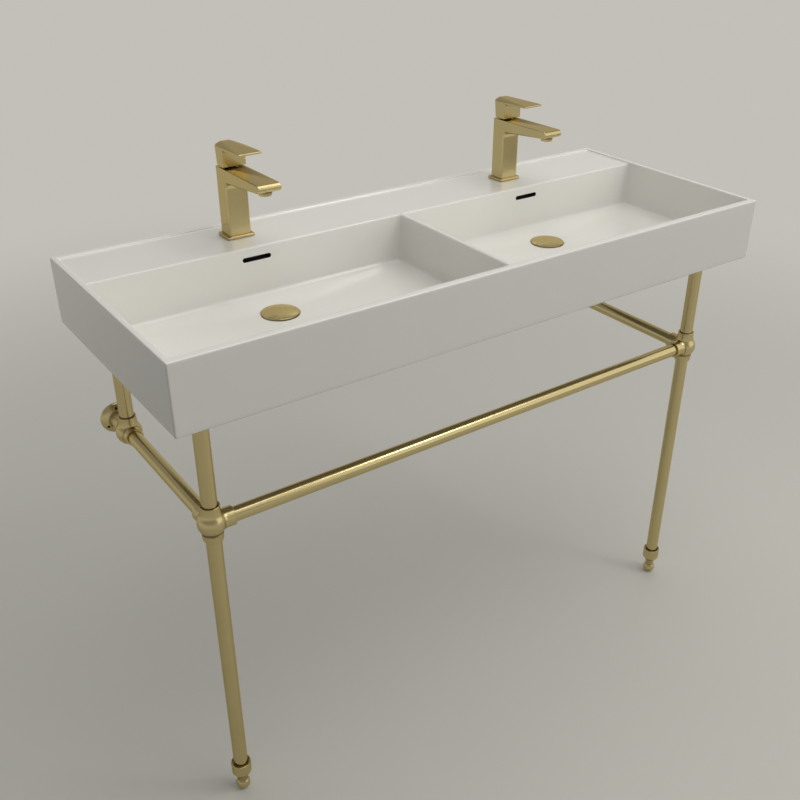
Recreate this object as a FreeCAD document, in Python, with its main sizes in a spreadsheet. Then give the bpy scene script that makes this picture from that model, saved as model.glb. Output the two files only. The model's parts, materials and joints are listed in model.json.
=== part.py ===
import FreeCAD, Part
import math
import os

import Sketcher

# Driving sizes in millimetres, heights from the floor or from the deck as their names say.
SIZES = {
    # Basin outside
    "basin_width": 1213.0,
    "basin_depth": 466.0,
    "basin_height": 116.0,
    "rim_height": 924.0,
    "basin_edge_round": 3.0,
    "basin_back_round": 10.0,
    # Basin rims, deck and bowls
    "side_rim": 10.0,
    "front_rim": 14.0,
    "back_lip": 12.0,
    "deck_drop": 3.0,
    "deck_depth": 137.0,
    "divider_width": 11.0,
    "deck_edge_round": 4.0,
    "bowl_depth": 88.0,
    "bowl_draft": 8.0,
    "bowl_corner_round": 12.0,
    "bowl_floor_round": 8.0,
    "floor_fall": 11.0,
    # Basin underside
    "floor_wall": 12.0,
    "skirt_wall": 12.0,
    "deck_wall": 14.0,
    "back_wall": 14.0,
    "bowl_back_wall": 12.0,
    "underside_recess": 4.0,
    "shelf_wall": 14.0,
    "shelf_reach": 118.0,
    "wall_bolt_spacing": 840.0,
    "wall_bolt_hole_radius": 6.5,
    "wall_bolt_drop": 52.0,
    # Overflow
    "overflow_width": 54.0,
    "overflow_height": 8.0,
    "overflow_drop": 23.0,
    "duct_depth": 10.0,
    "duct_wall": 8.0,
    "duct_tunnel_width": 36.0,
    "duct_tunnel_height": 12.0,
    # Drain seat in the ceramic
    "drain_from_deck": 74.0,
    "drain_seat_radius": 34.0,
    "drain_hole_radius": 23.0,
    "drain_boss_wall": 14.0,
    "drain_boss_drop": 20.0,
    # Drain fittings
    "drain_flange_radius": 32.0,
    "drain_flange_height": 2.5,
    "drain_seal_height": 1.0,
    "drain_thread_radius": 20.95,
    "drain_tail_wall": 3.5,
    "drain_tail_length": 86.0,
    "trap_thread_length": 28.0,
    "thread_relief_height": 2.5,
    "thread_relief_depth": 1.0,
    "drain_slot_width": 16.0,
    "drain_washer_height": 3.0,
    "drain_washer_rim": 10.0,
    "drain_nut_height": 12.0,
    "drain_nut_rim": 8.0,
    "drain_cap_radius": 32.5,
    "drain_cap_height": 5.0,
    "drain_cap_edge": 1.6,
    "drain_cap_gap": 0.4,
    "drain_stem_radius": 4.0,
    "drain_stem_length": 38.0,
    "barrel_wall": 3.5,
    "barrel_drop": 14.0,
    "barrel_length": 30.0,
    "barrel_floor": 3.0,
    "barrel_arm_width": 5.0,
    "barrel_arm_height": 8.0,
    # Tap column and spout, heights from the deck
    "tap_set_back": 0.5,
    "tap_column_width": 42.0,
    "tap_column_depth": 32.0,
    "tap_column_height": 121.0,
    "tap_column_round": 4.0,
    "spout_reach": 137.0,
    "spout_rise": 1.5,
    "spout_root_height": 98.0,
    "spout_tip_height": 12.6,
    "spout_root_round": 12.0,
    "spout_tip_round": 4.8,
    "spout_edge_round": 2.0,
    "tap_plate_rim": 4.5,
    "tap_plate_height": 4.0,
    "tap_plate_round": 3.0,
    "tap_plate_edge_round": 1.0,
    "tap_gasket_height": 1.0,
    "tap_gasket_inset": 1.5,
    "tap_deck_hole_radius": 17.5,
    "tap_plate_hole_radius": 14.5,
    # Tap waterways and fixing
    "inlet_radius": 4.5,
    "inlet_depth": 14.0,
    "inlet_spacing": 15.0,
    "inlet_forward": 4.5,
    "passage_radius": 3.8,
    "channel_radius": 3.0,
    "outlet_height": 104.0,
    "channel_height": 114.0,
    "riser_forward": 24.0,
    "stud_radius": 4.0,
    "stud_back": 8.5,
    "stud_engagement": 14.0,
    "stud_length": 62.0,
    "clamp_radius": 25.0,
    "clamp_height": 3.0,
    "clamp_throat": 26.0,
    "clamp_web": 3.5,
    "stud_nut_radius": 7.5,
    "stud_nut_height": 8.0,
    # Tap aerator
    "aerator_from_tip": 18.0,
    "aerator_radius": 11.5,
    "aerator_height": 4.0,
    "aerator_thread_radius": 10.4,
    "aerator_thread_height": 6.5,
    "aerator_bore_radius": 8.4,
    "aerator_insert_recess": 1.0,
    "aerator_insert_height": 4.0,
    "aerator_lead": 0.6,
    "jet_radius": 1.2,
    "jet_circle_radius": 5.0,
    # Tap cartridge
    "cartridge_radius": 12.6,
    "cartridge_bottom": 78.0,
    "cartridge_height": 36.0,
    "cartridge_port_radius": 3.2,
    "cartridge_port_depth": 8.0,
    "cartridge_nut_radius": 13.9,
    "cartridge_nut_height": 6.0,
    "turret_radius": 9.0,
    "turret_yoke_height": 3.0,
    "yoke_width": 17.0,
    "yoke_front": 6.5,
    "yoke_back": 9.0,
    "ear_gap": 10.0,
    "ear_height": 9.0,
    "ear_depth": 6.0,
    "pivot_back": 6.0,
    "pivot_rise": 5.4,
    "pivot_radius": 1.5,
    "stem_width": 9.4,
    "stem_depth": 7.6,
    "stem_below_pivot": 3.0,
    "stem_top": 147.0,
    # Tap handle
    "handle_gap": 2.8,
    "handle_top": 161.0,
    "handle_back_round": 6.0,
    "handle_foot_round": 4.0,
    "handle_side_round": 1.4,
    "lever_reach": 76.5,
    "lever_root_thickness": 8.5,
    "lever_root_round": 4.0,
    "lever_tip_thickness": 3.4,
    "lever_tip_drop": 2.0,
    "lever_tip_round": 1.5,
    "handle_wall": 3.5,
    "handle_cavity_top": 138.0,
    "handle_screw_radius": 2.5,
    "handle_screw_height": 143.0,
    "handle_screw_inset": 0.6,
    # Stand tubes and ball fittings
    "leg_inset": 63.0,
    "leg_from_wall": 398.5,
    "post_from_wall": 64.0,
    "ball_height": 603.0,
    "tube_radius": 12.7,
    "tube_wall": 1.5,
    "ball_radius": 23.0,
    "collar_radius": 15.8,
    "collar_reach": 33.0,
    "rail_collar_radius": 16.3,
    "rail_collar_reach": 36.0,
    "rear_collar_reach": 27.0,
    "socket_floor": 14.0,
    "mouth_gap": 0.9,
    "mouth_depth": 3.0,
    "ball_neck_radius": 16.6,
    "ball_neck_reach": 17.0,
    "ferrule_radius": 17.3,
    "ferrule_length": 13.5,
    "ferrule_seam": 0.6,
    "set_screw_radius": 2.0,
    "pad_height": 3.0,
    "pad_plug_length": 10.0,
    # Foot
    "foot_ball_radius": 12.7,
    "foot_flat": 0.5,
    "foot_neck_radius": 8.5,
    "foot_neck_top": 29.5,
    "cup_bottom_radius": 10.0,
    "cup_radius": 17.8,
    "cup_bevel": 15.0,
    "cup_height": 37.5,
    "cup_wall": 2.2,
    "cup_seat": 18.0,
    "cup_seat_depth": 6.0,
    "foot_stud_radius": 5.0,
    "foot_travel": 10.0,
    "foot_stud_grip": 5.0,
    # Wall flange
    "flange_radius": 29.0,
    "flange_edge": 4.0,
    "flange_dome": 8.0,
    "flange_hub_radius": 16.3,
    "flange_hub_reach": 18.0,
    "flange_socket": 12.0,
    "flange_pcd": 43.0,
    "flange_hole_radius": 2.6,
    # Clearances and overrun
    "fit_clearance": 0.05,
    "running_clearance": 0.3,
    "overrun": 1.0,
}
FLANGE_HOLES = 3
NUT_FLAT_COUNT = 6
AERATOR_JETS = 6
SAME_PLACE = 1e-4
SIDES = {"left": -1, "right": 1}

doc = FreeCAD.newDocument("console_basin")
sheet = doc.addObject("Spreadsheet::Sheet", "Sizes")
for row, (alias, value) in enumerate(SIZES.items(), start=1):
    sheet.set(f"A{row}", alias)
    sheet.set(f"B{row}", str(value))
    sheet.setAlias(f"B{row}", alias)
doc.recompute()
PIECES = {}


class Size:
    """A length: its value in millimetres and the sheet expression that gives it."""

    def __init__(self, value, text):
        self.value = value
        self.text = text

    @staticmethod
    def of(term):
        """A plain number as a size with no name."""
        return term if isinstance(term, Size) else Size(term, f"{term:.9f}")

    def __add__(self, other):
        return Size(self.value + other.value, f"({self.text} + {other.text})")

    def __sub__(self, other):
        return Size(self.value - other.value, f"({self.text} - {other.text})")

    def __neg__(self):
        return Size(-self.value, f"(-1 * {self.text})")

    def __mul__(self, other):
        factor = Size.of(other)
        return Size(self.value * factor.value, f"({self.text} * {factor.text})")

    def __truediv__(self, other):
        divisor = Size.of(other)
        return Size(self.value / divisor.value, f"({self.text} / {divisor.text})")


class Sheet:
    """Gives each named size as an attribute."""

    def __getattr__(self, alias):
        return Size(float(sheet.get(alias)), f"Sizes.{alias}")


S = Sheet()
ZERO = Size(0.0, "0")
UP = FreeCAD.Rotation()
TO_X = FreeCAD.Rotation(FreeCAD.Vector(0, 1, 0), 90)
TO_Y = FreeCAD.Rotation(FreeCAD.Vector(1, 0, 0), -90)
FROM_Y = FreeCAD.Rotation(FreeCAD.Vector(1, 0, 0), 90)


def bind(obj, **sizes):
    """Ties properties of an object to sheet expressions."""
    for name, length in sizes.items():
        setattr(obj, name, length.value)
        obj.setExpression(name, length.text)
    return obj


def lay(obj, at, turn=UP):
    """Places an object at a point whose coordinates follow the sheet."""
    obj.Placement = FreeCAD.Placement(FreeCAD.Vector(*(c.value for c in at)), turn)
    for axis, length in zip("xyz", at):
        obj.setExpression(f"Placement.Base.{axis}", length.text)
    return obj


def block(low, high, kind="Part::Box", owner=doc):
    """A box between two corners."""
    add = owner.addObject if owner is doc else owner.newObject
    box = add(kind, "Block")
    bind(box, Length=high[0] - low[0], Width=high[1] - low[1], Height=high[2] - low[2])
    return lay(box, low)


def rod(radius, length, at, turn=UP, kind="Part::Cylinder", owner=doc):
    """A cylinder from a point along the turned Z axis."""
    add = owner.addObject if owner is doc else owner.newObject
    return lay(bind(add(kind, "Rod"), Radius=radius, Height=length), at, turn)


def cone(bottom, top, length, at, turn=UP):
    """A cone from a point along the turned Z axis."""
    taper = bind(doc.addObject("Part::Cone", "Cone"), Radius1=bottom, Radius2=top, Height=length)
    return lay(taper, at, turn)


def ball(radius, at):
    """A sphere about a point."""
    return lay(bind(doc.addObject("Part::Sphere", "Ball"), Radius=radius), at)


def fuse(*shapes):
    """One solid from several that overlap."""
    joined = doc.addObject("Part::MultiFuse", "Joined")
    joined.Shapes = list(shapes)
    joined.Refine = True
    return joined


def group(*shapes):
    """Separate solids kept together."""
    together = doc.addObject("Part::Compound", "Together")
    together.Links = list(shapes)
    return together


def common(base, tool):
    """What two solids share."""
    shared = doc.addObject("Part::Common", "Shared")
    shared.Base = base
    shared.Tool = tool
    return shared


def cut(base, *tools):
    """A solid with others taken out of it."""
    carved = doc.addObject("Part::Cut", "Carved")
    carved.Base = base
    carved.Tool = fuse(*tools) if len(tools) > 1 else tools[0]
    carved.Refine = True
    return carved


def ring(outer, inner, length, at, turn=UP):
    """A straight tube."""
    return cut(rod(outer, length, at, turn), rod(inner, length, at, turn))


def piece(label, obj):
    """Names a finished sub-part, which names its file."""
    obj.Label = label
    PIECES[label] = obj
    return obj


def plane(body, role):
    """One of a body's own origin planes."""
    return next(f for f in body.Origin.OriginFeatures if f.Role == role)


def outline(body, role, points):
    """A closed sketch of straight lines with every corner tied to the sheet."""
    sketch = body.newObject("Sketcher::SketchObject", "Outline")
    sketch.AttachmentSupport = [(plane(body, role), "")]
    sketch.MapMode = "FlatFace"
    spots = [FreeCAD.Vector(x.value, y.value, 0) for x, y in points]
    for start, end in zip(spots, spots[1:] + spots[:1]):
        sketch.addGeometry(Part.LineSegment(start, end))
    for index, (x, y) in enumerate(points):
        before = (index - 1) % len(points)
        sketch.addConstraint(Sketcher.Constraint("Coincident", before, 2, index, 1))
        for kind, length in (("DistanceX", x), ("DistanceY", y)):
            place = sketch.addConstraint(Sketcher.Constraint(kind, -1, 1, index, 1, length.value))
            sketch.setExpression(f"Constraints[{place}]", length.text)
    return sketch


def round_edges(body, radius, chosen):
    """Rounds the edges of a body that a test of their two ends picks."""
    doc.recompute()
    tip = body.Tip
    names = [
        f"Edge{number}"
        for number, edge in enumerate(tip.Shape.Edges, start=1)
        if len(edge.Vertexes) == 2 and chosen(*(vertex.Point for vertex in edge.Vertexes))
    ]
    fillet = body.newObject("PartDesign::Fillet", "Rounded")
    fillet.Base = (tip, names)
    bind(fillet, Radius=radius)
    return fillet


def near(value, length):
    """Whether a coordinate lies on a size."""
    return math.isclose(value, length.value, abs_tol=SAME_PLACE)


def both(a, b, axis, length):
    """Whether both ends of an edge lie on a plane."""
    return near(getattr(a, axis), length) and near(getattr(b, axis), length)


def level(a, b, axis):
    """Whether both ends of an edge share a coordinate."""
    return near(getattr(a, axis) - getattr(b, axis), ZERO)


# Shared places: the wall is at +Y, the floor is at zero height, and the middle is at x = 0.
WALL = S.basin_depth / 2
BASIN_BOTTOM = S.rim_height - S.basin_height
DECK = S.rim_height - S.deck_drop
BOWL_MIDDLE = S.basin_width / 4
DRAIN_FLOOR = S.rim_height - S.bowl_depth - S.floor_fall
DRAIN_OUT = S.deck_depth + S.drain_from_deck
DRAIN_Y = WALL - DRAIN_OUT
TAP_Y = WALL - S.deck_depth / 2 + S.tap_set_back
LEG_X = S.basin_width / 2 - S.leg_inset
LEG_Y = WALL - S.leg_from_wall
POST_Y = WALL - S.post_from_wall
PAD_TOP = BASIN_BOTTOM + S.underside_recess


def wedge(body, x_low, x_high, out_low, out_high, low, high):
    """Takes a tapered block out of a body: its ranges across and out from the wall, low and high."""
    tool = body.newObject("PartDesign::SubtractiveWedge", "Hollow")
    bind(tool, Xmin=x_low[0], Xmax=x_low[1], X2min=x_high[0], X2max=x_high[1])
    bind(tool, Zmin=out_low[0], Zmax=out_low[1], Z2min=out_high[0], Z2max=out_high[1])
    bind(tool, Ymin=low, Ymax=high)
    return lay(tool, (ZERO, ZERO, ZERO), FROM_Y)


def basin():
    """The ceramic basin: one half with its bowl, deck, overflow and underside, then mirrored."""
    body = doc.addObject("PartDesign::Body", "BasinHalf")
    lay(body, (ZERO, WALL, BASIN_BOTTOM))
    end = S.basin_width / 2
    top = S.basin_height
    block((ZERO, -S.basin_depth, ZERO), (end, ZERO, top), "PartDesign::AdditiveBox", body)
    round_edges(body, S.basin_back_round, lambda a, b: both(a, b, "y", ZERO) and both(a, b, "z", ZERO))
    round_edges(
        body,
        S.basin_edge_round,
        lambda a, b: both(a, b, "x", end)
        or both(a, b, "y", -S.basin_depth) and (both(a, b, "z", ZERO) or both(a, b, "z", top)),
    )

    # Bowl and sunken deck share the slope of the front and side walls
    deck = top - S.deck_drop
    floor = top - S.bowl_depth
    sunk = S.bowl_draft * S.deck_drop / S.bowl_depth
    side = end - S.side_rim
    front = S.basin_depth - S.front_rim
    rib = S.divider_width / 2
    wedge(
        body,
        (ZERO, side - sunk),
        (ZERO, side),
        (S.back_lip, front - sunk),
        (S.back_lip, front),
        deck,
        top,
    )
    wedge(
        body,
        (rib + S.bowl_draft, side - S.bowl_draft),
        (rib, side),
        (S.deck_depth + S.bowl_draft, front - S.bowl_draft),
        (S.deck_depth, front),
        floor,
        top,
    )
    round_edges(body, S.bowl_corner_round, lambda a, b: near(a.z, floor) != near(b.z, floor))
    round_edges(body, S.bowl_floor_round, lambda a, b: both(a, b, "z", floor))
    mouth = sunk - front
    round_edges(
        body,
        S.deck_edge_round,
        lambda a, b: both(a, b, "z", deck)
        and near(min(a.x, b.x), rib + sunk)
        and near(min(a.y, b.y), mouth)
        and not near(max(a.y, b.y), mouth),
    )
    inset = S.bowl_draft + S.bowl_corner_round
    seat = S.drain_seat_radius
    wedge(
        body,
        (BOWL_MIDDLE - seat, BOWL_MIDDLE + seat),
        (rib + inset, side - inset),
        (DRAIN_OUT - seat, DRAIN_OUT + seat),
        (S.deck_depth + inset, front - inset),
        floor - S.floor_fall,
        floor,
    )

    # Underside: a shallow recess inside the skirt, a hollow behind the bowl and a shelf at its end
    inside = end - S.skirt_wall
    roof = deck - S.deck_wall
    hollow_front = S.bowl_back_wall - S.deck_depth
    tools = (
        ((ZERO, S.skirt_wall - S.basin_depth, -S.overrun), (inside, -S.back_wall, S.underside_recess)),
        ((ZERO, hollow_front, ZERO), (end - S.shelf_reach, -S.back_wall, roof)),
        ((ZERO, hollow_front, S.underside_recess + S.shelf_wall), (inside, -S.back_wall, roof)),
    )
    for low, high in tools:
        block(low, high, "PartDesign::SubtractiveBox", body)

    # Overflow duct behind the bowl, its tunnel under the floor and the drain's boss
    duct_half = S.overflow_width / 2
    tunnel_half = S.duct_tunnel_width / 2
    duct_back = hollow_front + S.duct_depth
    boss_bottom = -S.drain_boss_drop
    tunnel_low = boss_bottom + S.duct_wall
    tunnel_high = tunnel_low + S.duct_tunnel_height
    solid_top = floor - S.floor_fall - S.floor_wall / 2
    block(
        (BOWL_MIDDLE - duct_half - S.duct_wall, hollow_front - S.bowl_back_wall / 2, boss_bottom),
        (BOWL_MIDDLE + duct_half + S.duct_wall, duct_back + S.duct_wall, roof),
        "PartDesign::AdditiveBox",
        body,
    )
    block(
        (BOWL_MIDDLE - tunnel_half - S.duct_wall, -DRAIN_OUT, boss_bottom),
        (BOWL_MIDDLE + tunnel_half + S.duct_wall, hollow_front, solid_top),
        "PartDesign::AdditiveBox",
        body,
    )
    drain = (BOWL_MIDDLE, -DRAIN_OUT, boss_bottom)
    boss_radius = S.drain_hole_radius + S.drain_boss_wall
    rod(boss_radius, solid_top - boss_bottom, drain, UP, "PartDesign::AdditiveCylinder", body)
    slot_low = top - S.overflow_drop - S.overflow_height / 2
    slot_end = S.overflow_height / 2
    slot_high = slot_low + S.overflow_height
    slot_front = hollow_front - S.bowl_back_wall - S.bowl_draft
    slot_half = duct_half - slot_end
    for half_width, front_y, low, high in (
        (duct_half, hollow_front, tunnel_low, slot_high),
        (tunnel_half, -DRAIN_OUT, tunnel_low, tunnel_high),
        (slot_half, slot_front, slot_low, slot_high),
    ):
        near_corner = (BOWL_MIDDLE - half_width, front_y, low)
        far_corner = (BOWL_MIDDLE + half_width, duct_back, high)
        block(near_corner, far_corner, "PartDesign::SubtractiveBox", body)
    for x in (BOWL_MIDDLE - slot_half, BOWL_MIDDLE + slot_half):
        at = (x, slot_front, slot_low + slot_end)
        rod(slot_end, duct_back - slot_front, at, TO_Y, "PartDesign::SubtractiveCylinder", body)

    # Holes for the drain, its flange, the tap and the wall bolt
    seat_depth = S.drain_flange_height + S.drain_seal_height
    bolt_at = (S.wall_bolt_spacing / 2, -S.back_wall, top - S.wall_bolt_drop)
    holes = (
        (S.drain_hole_radius, top, drain, UP),
        (seat, top, (drain[0], drain[1], floor - S.floor_fall - seat_depth), UP),
        (S.tap_deck_hole_radius, top, (BOWL_MIDDLE, TAP_Y - WALL, S.shelf_wall), UP),
        (S.wall_bolt_hole_radius, S.back_wall + S.overrun, bolt_at, TO_Y),
    )
    for radius, length, at, turn in holes:
        rod(radius, length, at, turn, "PartDesign::SubtractiveCylinder", body)

    other = doc.addObject("Part::Mirroring", "OtherHalf")
    other.Source = body
    other.Normal = FreeCAD.Vector(1, 0, 0)
    piece("basin", fuse(body, other))


def tube(length, at, turn=UP):
    """A length of the stand's tube."""
    return ring(S.tube_radius, S.tube_radius - S.tube_wall, length, at, turn)


def arm(centre, radius, start, stop, direction):
    """A rod from one distance to another along a signed axis such as "+x", out from a ball's middle."""
    sign, axis = direction
    place = "xyz".index(axis)
    at = list(centre)
    at[place] = centre[place] + (start if sign == "+" else -stop)
    return rod(radius, stop - start, at, (TO_X, TO_Y, UP)[place])


def ball_fitting(centre, collars):
    """A ball with a collar on each side that takes a tube, its bore wider at the mouth."""
    bore = S.tube_radius + S.fit_clearance
    shapes = [ball(S.ball_radius, centre)]
    bores = []
    for direction, radius, reach, mouth_gap in collars:
        shapes.append(arm(centre, radius, ZERO, reach, direction))
        bores.append(arm(centre, bore, S.socket_floor, reach, direction))
        bores.append(arm(centre, bore + mouth_gap, reach - S.mouth_depth, reach, direction))
    return cut(fuse(*shapes), *bores)


def stand_side(name, side):
    """Legs, post, fittings, rails and foot of one end of the stand."""
    x = LEG_X * side
    front = (x, LEG_Y, S.ball_height)
    rear = (x, POST_Y, S.ball_height)
    leg_reach = PAD_TOP - S.pad_height - S.ball_height - S.socket_floor
    piece(f"{name}_front_leg_upper", tube(leg_reach, (x, LEG_Y, S.ball_height + S.socket_floor)))
    piece(f"{name}_rear_post", tube(leg_reach, (x, POST_Y, S.ball_height + S.socket_floor)))
    leg_bottom = S.foot_neck_top + S.cup_seat
    leg_length = S.ball_height - S.socket_floor - leg_bottom
    piece(f"{name}_front_leg_lower", tube(leg_length, (x, LEG_Y, leg_bottom)))
    rail_length = POST_Y - LEG_Y - S.socket_floor * 2
    piece(f"{name}_side_rail", tube(rail_length, (x, LEG_Y + S.socket_floor, S.ball_height), TO_Y))

    upward = ("+z", S.collar_radius, S.collar_reach, S.mouth_gap)
    rail = (S.rail_collar_radius, S.rail_collar_reach, S.mouth_gap)
    inward = "+x" if side < 0 else "-x"
    neck = S.ball_neck_reach
    downward = ("-z", S.ball_neck_radius, neck, ZERO)
    below = arm(front, S.ball_radius, neck, S.ball_radius + S.overrun, "-z")
    fitting = ball_fitting(front, (upward, ("+y", *rail), (inward, *rail), downward))
    piece(f"{name}_front_ball", cut(fitting, below))
    back_reach = S.post_from_wall - S.flange_hub_reach - S.ferrule_seam
    backward = ("+y", S.rail_collar_radius, back_reach, S.mouth_gap)
    forward = ("-y", S.rail_collar_radius, S.rear_collar_reach, S.mouth_gap)
    piece(f"{name}_rear_ball", ball_fitting(rear, (upward, forward, backward)))

    ferrule_top = S.ball_height - neck - S.ferrule_seam
    ferrule_at = (x, LEG_Y, ferrule_top - S.ferrule_length)
    screw_at = (x, LEG_Y + S.tube_radius + S.fit_clearance, ferrule_top - S.ferrule_length / 2)
    screw_length = S.ferrule_radius - S.tube_radius - S.ferrule_seam
    ferrule = ring(S.ferrule_radius, S.tube_radius + S.fit_clearance, S.ferrule_length, ferrule_at)
    screw_hole = rod(S.set_screw_radius + S.fit_clearance, screw_length + S.overrun, screw_at, TO_Y)
    piece(f"{name}_leg_ferrule", cut(ferrule, screw_hole))
    screw = rod(S.set_screw_radius, screw_length, screw_at, TO_Y)

    # Wall flange with a domed face, a hub and three screw holes, and the stub that joins it to the ball
    flange = (x, WALL, S.ball_height)
    dome_at = (x, WALL - S.flange_edge, S.ball_height)
    dome = cone(S.flange_radius, S.flange_hub_radius, S.flange_dome, dome_at, FROM_Y)
    plate = rod(S.flange_radius, S.flange_edge, flange, FROM_Y)
    hub = rod(S.flange_hub_radius, S.flange_hub_reach, flange, FROM_Y)
    stub_end = WALL - S.flange_hub_reach + S.flange_socket
    seat = rod(S.tube_radius + S.fit_clearance, S.flange_socket, (x, stub_end, S.ball_height), FROM_Y)
    holes = []
    for step in range(FLANGE_HOLES):
        angle = math.radians(90 + step * 360 / FLANGE_HOLES)
        at = (
            x + S.flange_pcd * (math.cos(angle) / 2),
            WALL + S.overrun,
            S.ball_height + S.flange_pcd * (math.sin(angle) / 2),
        )
        depth = S.flange_edge + S.flange_dome + S.overrun * 2
        holes.append(rod(S.flange_hole_radius, depth, at, FROM_Y))
    piece(f"{name}_wall_flange", cut(fuse(plate, dome, hub), seat, *holes))
    stub_start = POST_Y + S.socket_floor
    stub = tube(stub_end - stub_start, (x, stub_start, S.ball_height), TO_Y)

    # Foot cup round the leg, and the ball foot that screws into it
    cup_at = (x, LEG_Y, S.foot_neck_top)
    shell = fuse(
        cone(S.cup_bottom_radius, S.cup_radius, S.cup_bevel, cup_at),
        rod(S.cup_radius, S.cup_height - S.cup_bevel, (x, LEG_Y, S.foot_neck_top + S.cup_bevel)),
    )
    seat_bore = rod(S.tube_radius + S.fit_clearance, S.cup_height, (x, LEG_Y, leg_bottom))
    mouth = rod(S.cup_radius - S.cup_wall, S.cup_height, (x, LEG_Y, leg_bottom + S.cup_seat_depth))
    thread = rod(S.foot_stud_radius + S.fit_clearance, S.cup_height, cup_at)
    piece(f"{name}_foot_cup", cut(shell, seat_bore, mouth, thread))
    foot_middle = S.foot_ball_radius - S.foot_flat
    neck_length = S.foot_neck_top - foot_middle
    foot = fuse(
        ball(S.foot_ball_radius, (x, LEG_Y, foot_middle)),
        rod(S.foot_neck_radius, neck_length, (x, LEG_Y, foot_middle)),
        rod(S.foot_stud_radius, neck_length + S.foot_travel + S.foot_stud_grip, (x, LEG_Y, foot_middle)),
    )
    ground = block(
        (x - S.foot_ball_radius, LEG_Y - S.foot_ball_radius, -S.foot_ball_radius),
        (x + S.foot_ball_radius, LEG_Y + S.foot_ball_radius, ZERO),
    )
    piece(f"{name}_foot_ball", cut(foot, ground))

    pads = []
    for y in (LEG_Y, POST_Y):
        plug = rod(
            S.tube_radius - S.tube_wall - S.fit_clearance,
            S.pad_plug_length,
            (x, y, PAD_TOP - S.pad_height - S.pad_plug_length),
        )
        pads.append(fuse(rod(S.tube_radius, S.pad_height, (x, y, PAD_TOP - S.pad_height)), plug))
    return pads, screw, stub


def stand():
    """The tube stand: both ends, the front rail, and the alike small parts grouped."""
    pads, screws, stubs = zip(*(stand_side(name, side) for name, side in SIDES.items()))
    rail_start = S.socket_floor - LEG_X
    piece("front_rail", tube(-rail_start * 2, (rail_start, LEG_Y, S.ball_height), TO_X))
    piece("leg_top_pads", group(*pads[0], *pads[1]))
    piece("ferrule_set_screws", group(*screws))
    piece("wall_stubs", group(*stubs))


def nut(inner, rim, height, at):
    """A hexagon nut with a round bore: a prism of the sheet's sizes."""
    prism = doc.addObject("Part::Prism", "Nut")
    prism.Polygon = NUT_FLAT_COUNT
    lay(bind(prism, Circumradius=inner + rim, Height=height), at)
    return cut(prism, rod(inner, height, at))


def drain(name, side):
    """One push drain: body, clicker barrel, cap and stem, with its seal, washer and nut."""
    x = BOWL_MIDDLE * side
    flange_low = DRAIN_FLOOR - S.drain_flange_height
    tail_low = DRAIN_FLOOR - S.drain_tail_length
    bore = S.drain_thread_radius - S.drain_tail_wall
    barrel_top = DRAIN_FLOOR - S.barrel_drop
    barrel_low = barrel_top - S.barrel_length
    barrel_radius = S.drain_stem_radius + S.barrel_wall
    boss_bottom = BASIN_BOTTOM - S.drain_boss_drop
    slot_low = boss_bottom + S.duct_wall
    shell = fuse(
        rod(S.drain_flange_radius, S.drain_flange_height, (x, DRAIN_Y, flange_low)),
        rod(S.drain_thread_radius, S.drain_tail_length - S.drain_flange_height, (x, DRAIN_Y, tail_low)),
    )
    slot_half = S.drain_slot_width / 2
    slot = block(
        (x - slot_half, DRAIN_Y - S.drain_flange_radius, slot_low),
        (x + slot_half, DRAIN_Y + S.drain_flange_radius, slot_low + S.duct_tunnel_height),
    )
    relief = ring(
        S.drain_thread_radius + S.overrun,
        S.drain_thread_radius - S.thread_relief_depth,
        S.thread_relief_height,
        (x, DRAIN_Y, tail_low + S.trap_thread_length),
    )
    body = cut(shell, rod(bore, S.drain_tail_length, (x, DRAIN_Y, tail_low)), slot, relief)
    piece(f"{name}_drain_body", body)

    # Clicker barrel, carried in the tail on a cross of arms
    arm_half = S.barrel_arm_width / 2
    arm_reach = bore - S.fit_clearance
    arm_top = barrel_low + S.barrel_arm_height
    arms = [
        block((x - across, DRAIN_Y - along, barrel_low), (x + across, DRAIN_Y + along, arm_top))
        for across, along in ((arm_reach, arm_half), (arm_half, arm_reach))
    ]
    cross = common(fuse(*arms), rod(arm_reach, S.barrel_arm_height, (x, DRAIN_Y, barrel_low)))
    barrel = fuse(rod(barrel_radius, S.barrel_length, (x, DRAIN_Y, barrel_low)), cross)
    guide = rod(
        S.drain_stem_radius + S.fit_clearance * 2,
        S.barrel_length,
        (x, DRAIN_Y, barrel_low + S.barrel_floor),
    )
    piece(f"{name}_drain_barrel", cut(barrel, guide))

    # Cap: a shallow dome cut from a large ball, with a short edge
    cap_low = DRAIN_FLOOR + S.drain_cap_gap
    crown = S.drain_cap_height - S.drain_cap_edge
    dome_radius = (S.drain_cap_radius * S.drain_cap_radius / crown + crown) / 2
    disc = rod(S.drain_cap_radius, S.drain_cap_height, (x, DRAIN_Y, cap_low))
    crown_ball = ball(dome_radius, (x, DRAIN_Y, cap_low + S.drain_cap_height - dome_radius))
    piece(f"{name}_drain_cap", common(disc, crown_ball))
    stem_at = (x, DRAIN_Y, cap_low - S.drain_stem_length)
    piece(f"{name}_drain_stem", rod(S.drain_stem_radius, S.drain_stem_length, stem_at))

    washer_low = boss_bottom - S.drain_washer_height
    sleeve = S.drain_thread_radius + S.fit_clearance
    seal_at = (x, DRAIN_Y, flange_low - S.drain_seal_height)
    nut_at = (x, DRAIN_Y, washer_low - S.drain_nut_height)
    seal = ring(S.drain_flange_radius, sleeve, S.drain_seal_height, seal_at)
    washer = ring(sleeve + S.drain_washer_rim, sleeve, S.drain_washer_height, (x, DRAIN_Y, washer_low))
    lock_nut = nut(sleeve, S.drain_nut_rim, S.drain_nut_height, nut_at)
    return seal, washer, lock_nut


def drains():
    """Both drains, with their alike seals, washers and nuts grouped."""
    sets = [drain(name, side) for name, side in SIDES.items()]
    for label, pair in zip(("drain_seals", "drain_washers", "drain_nuts"), zip(*sets)):
        piece(label, group(*pair))


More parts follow.
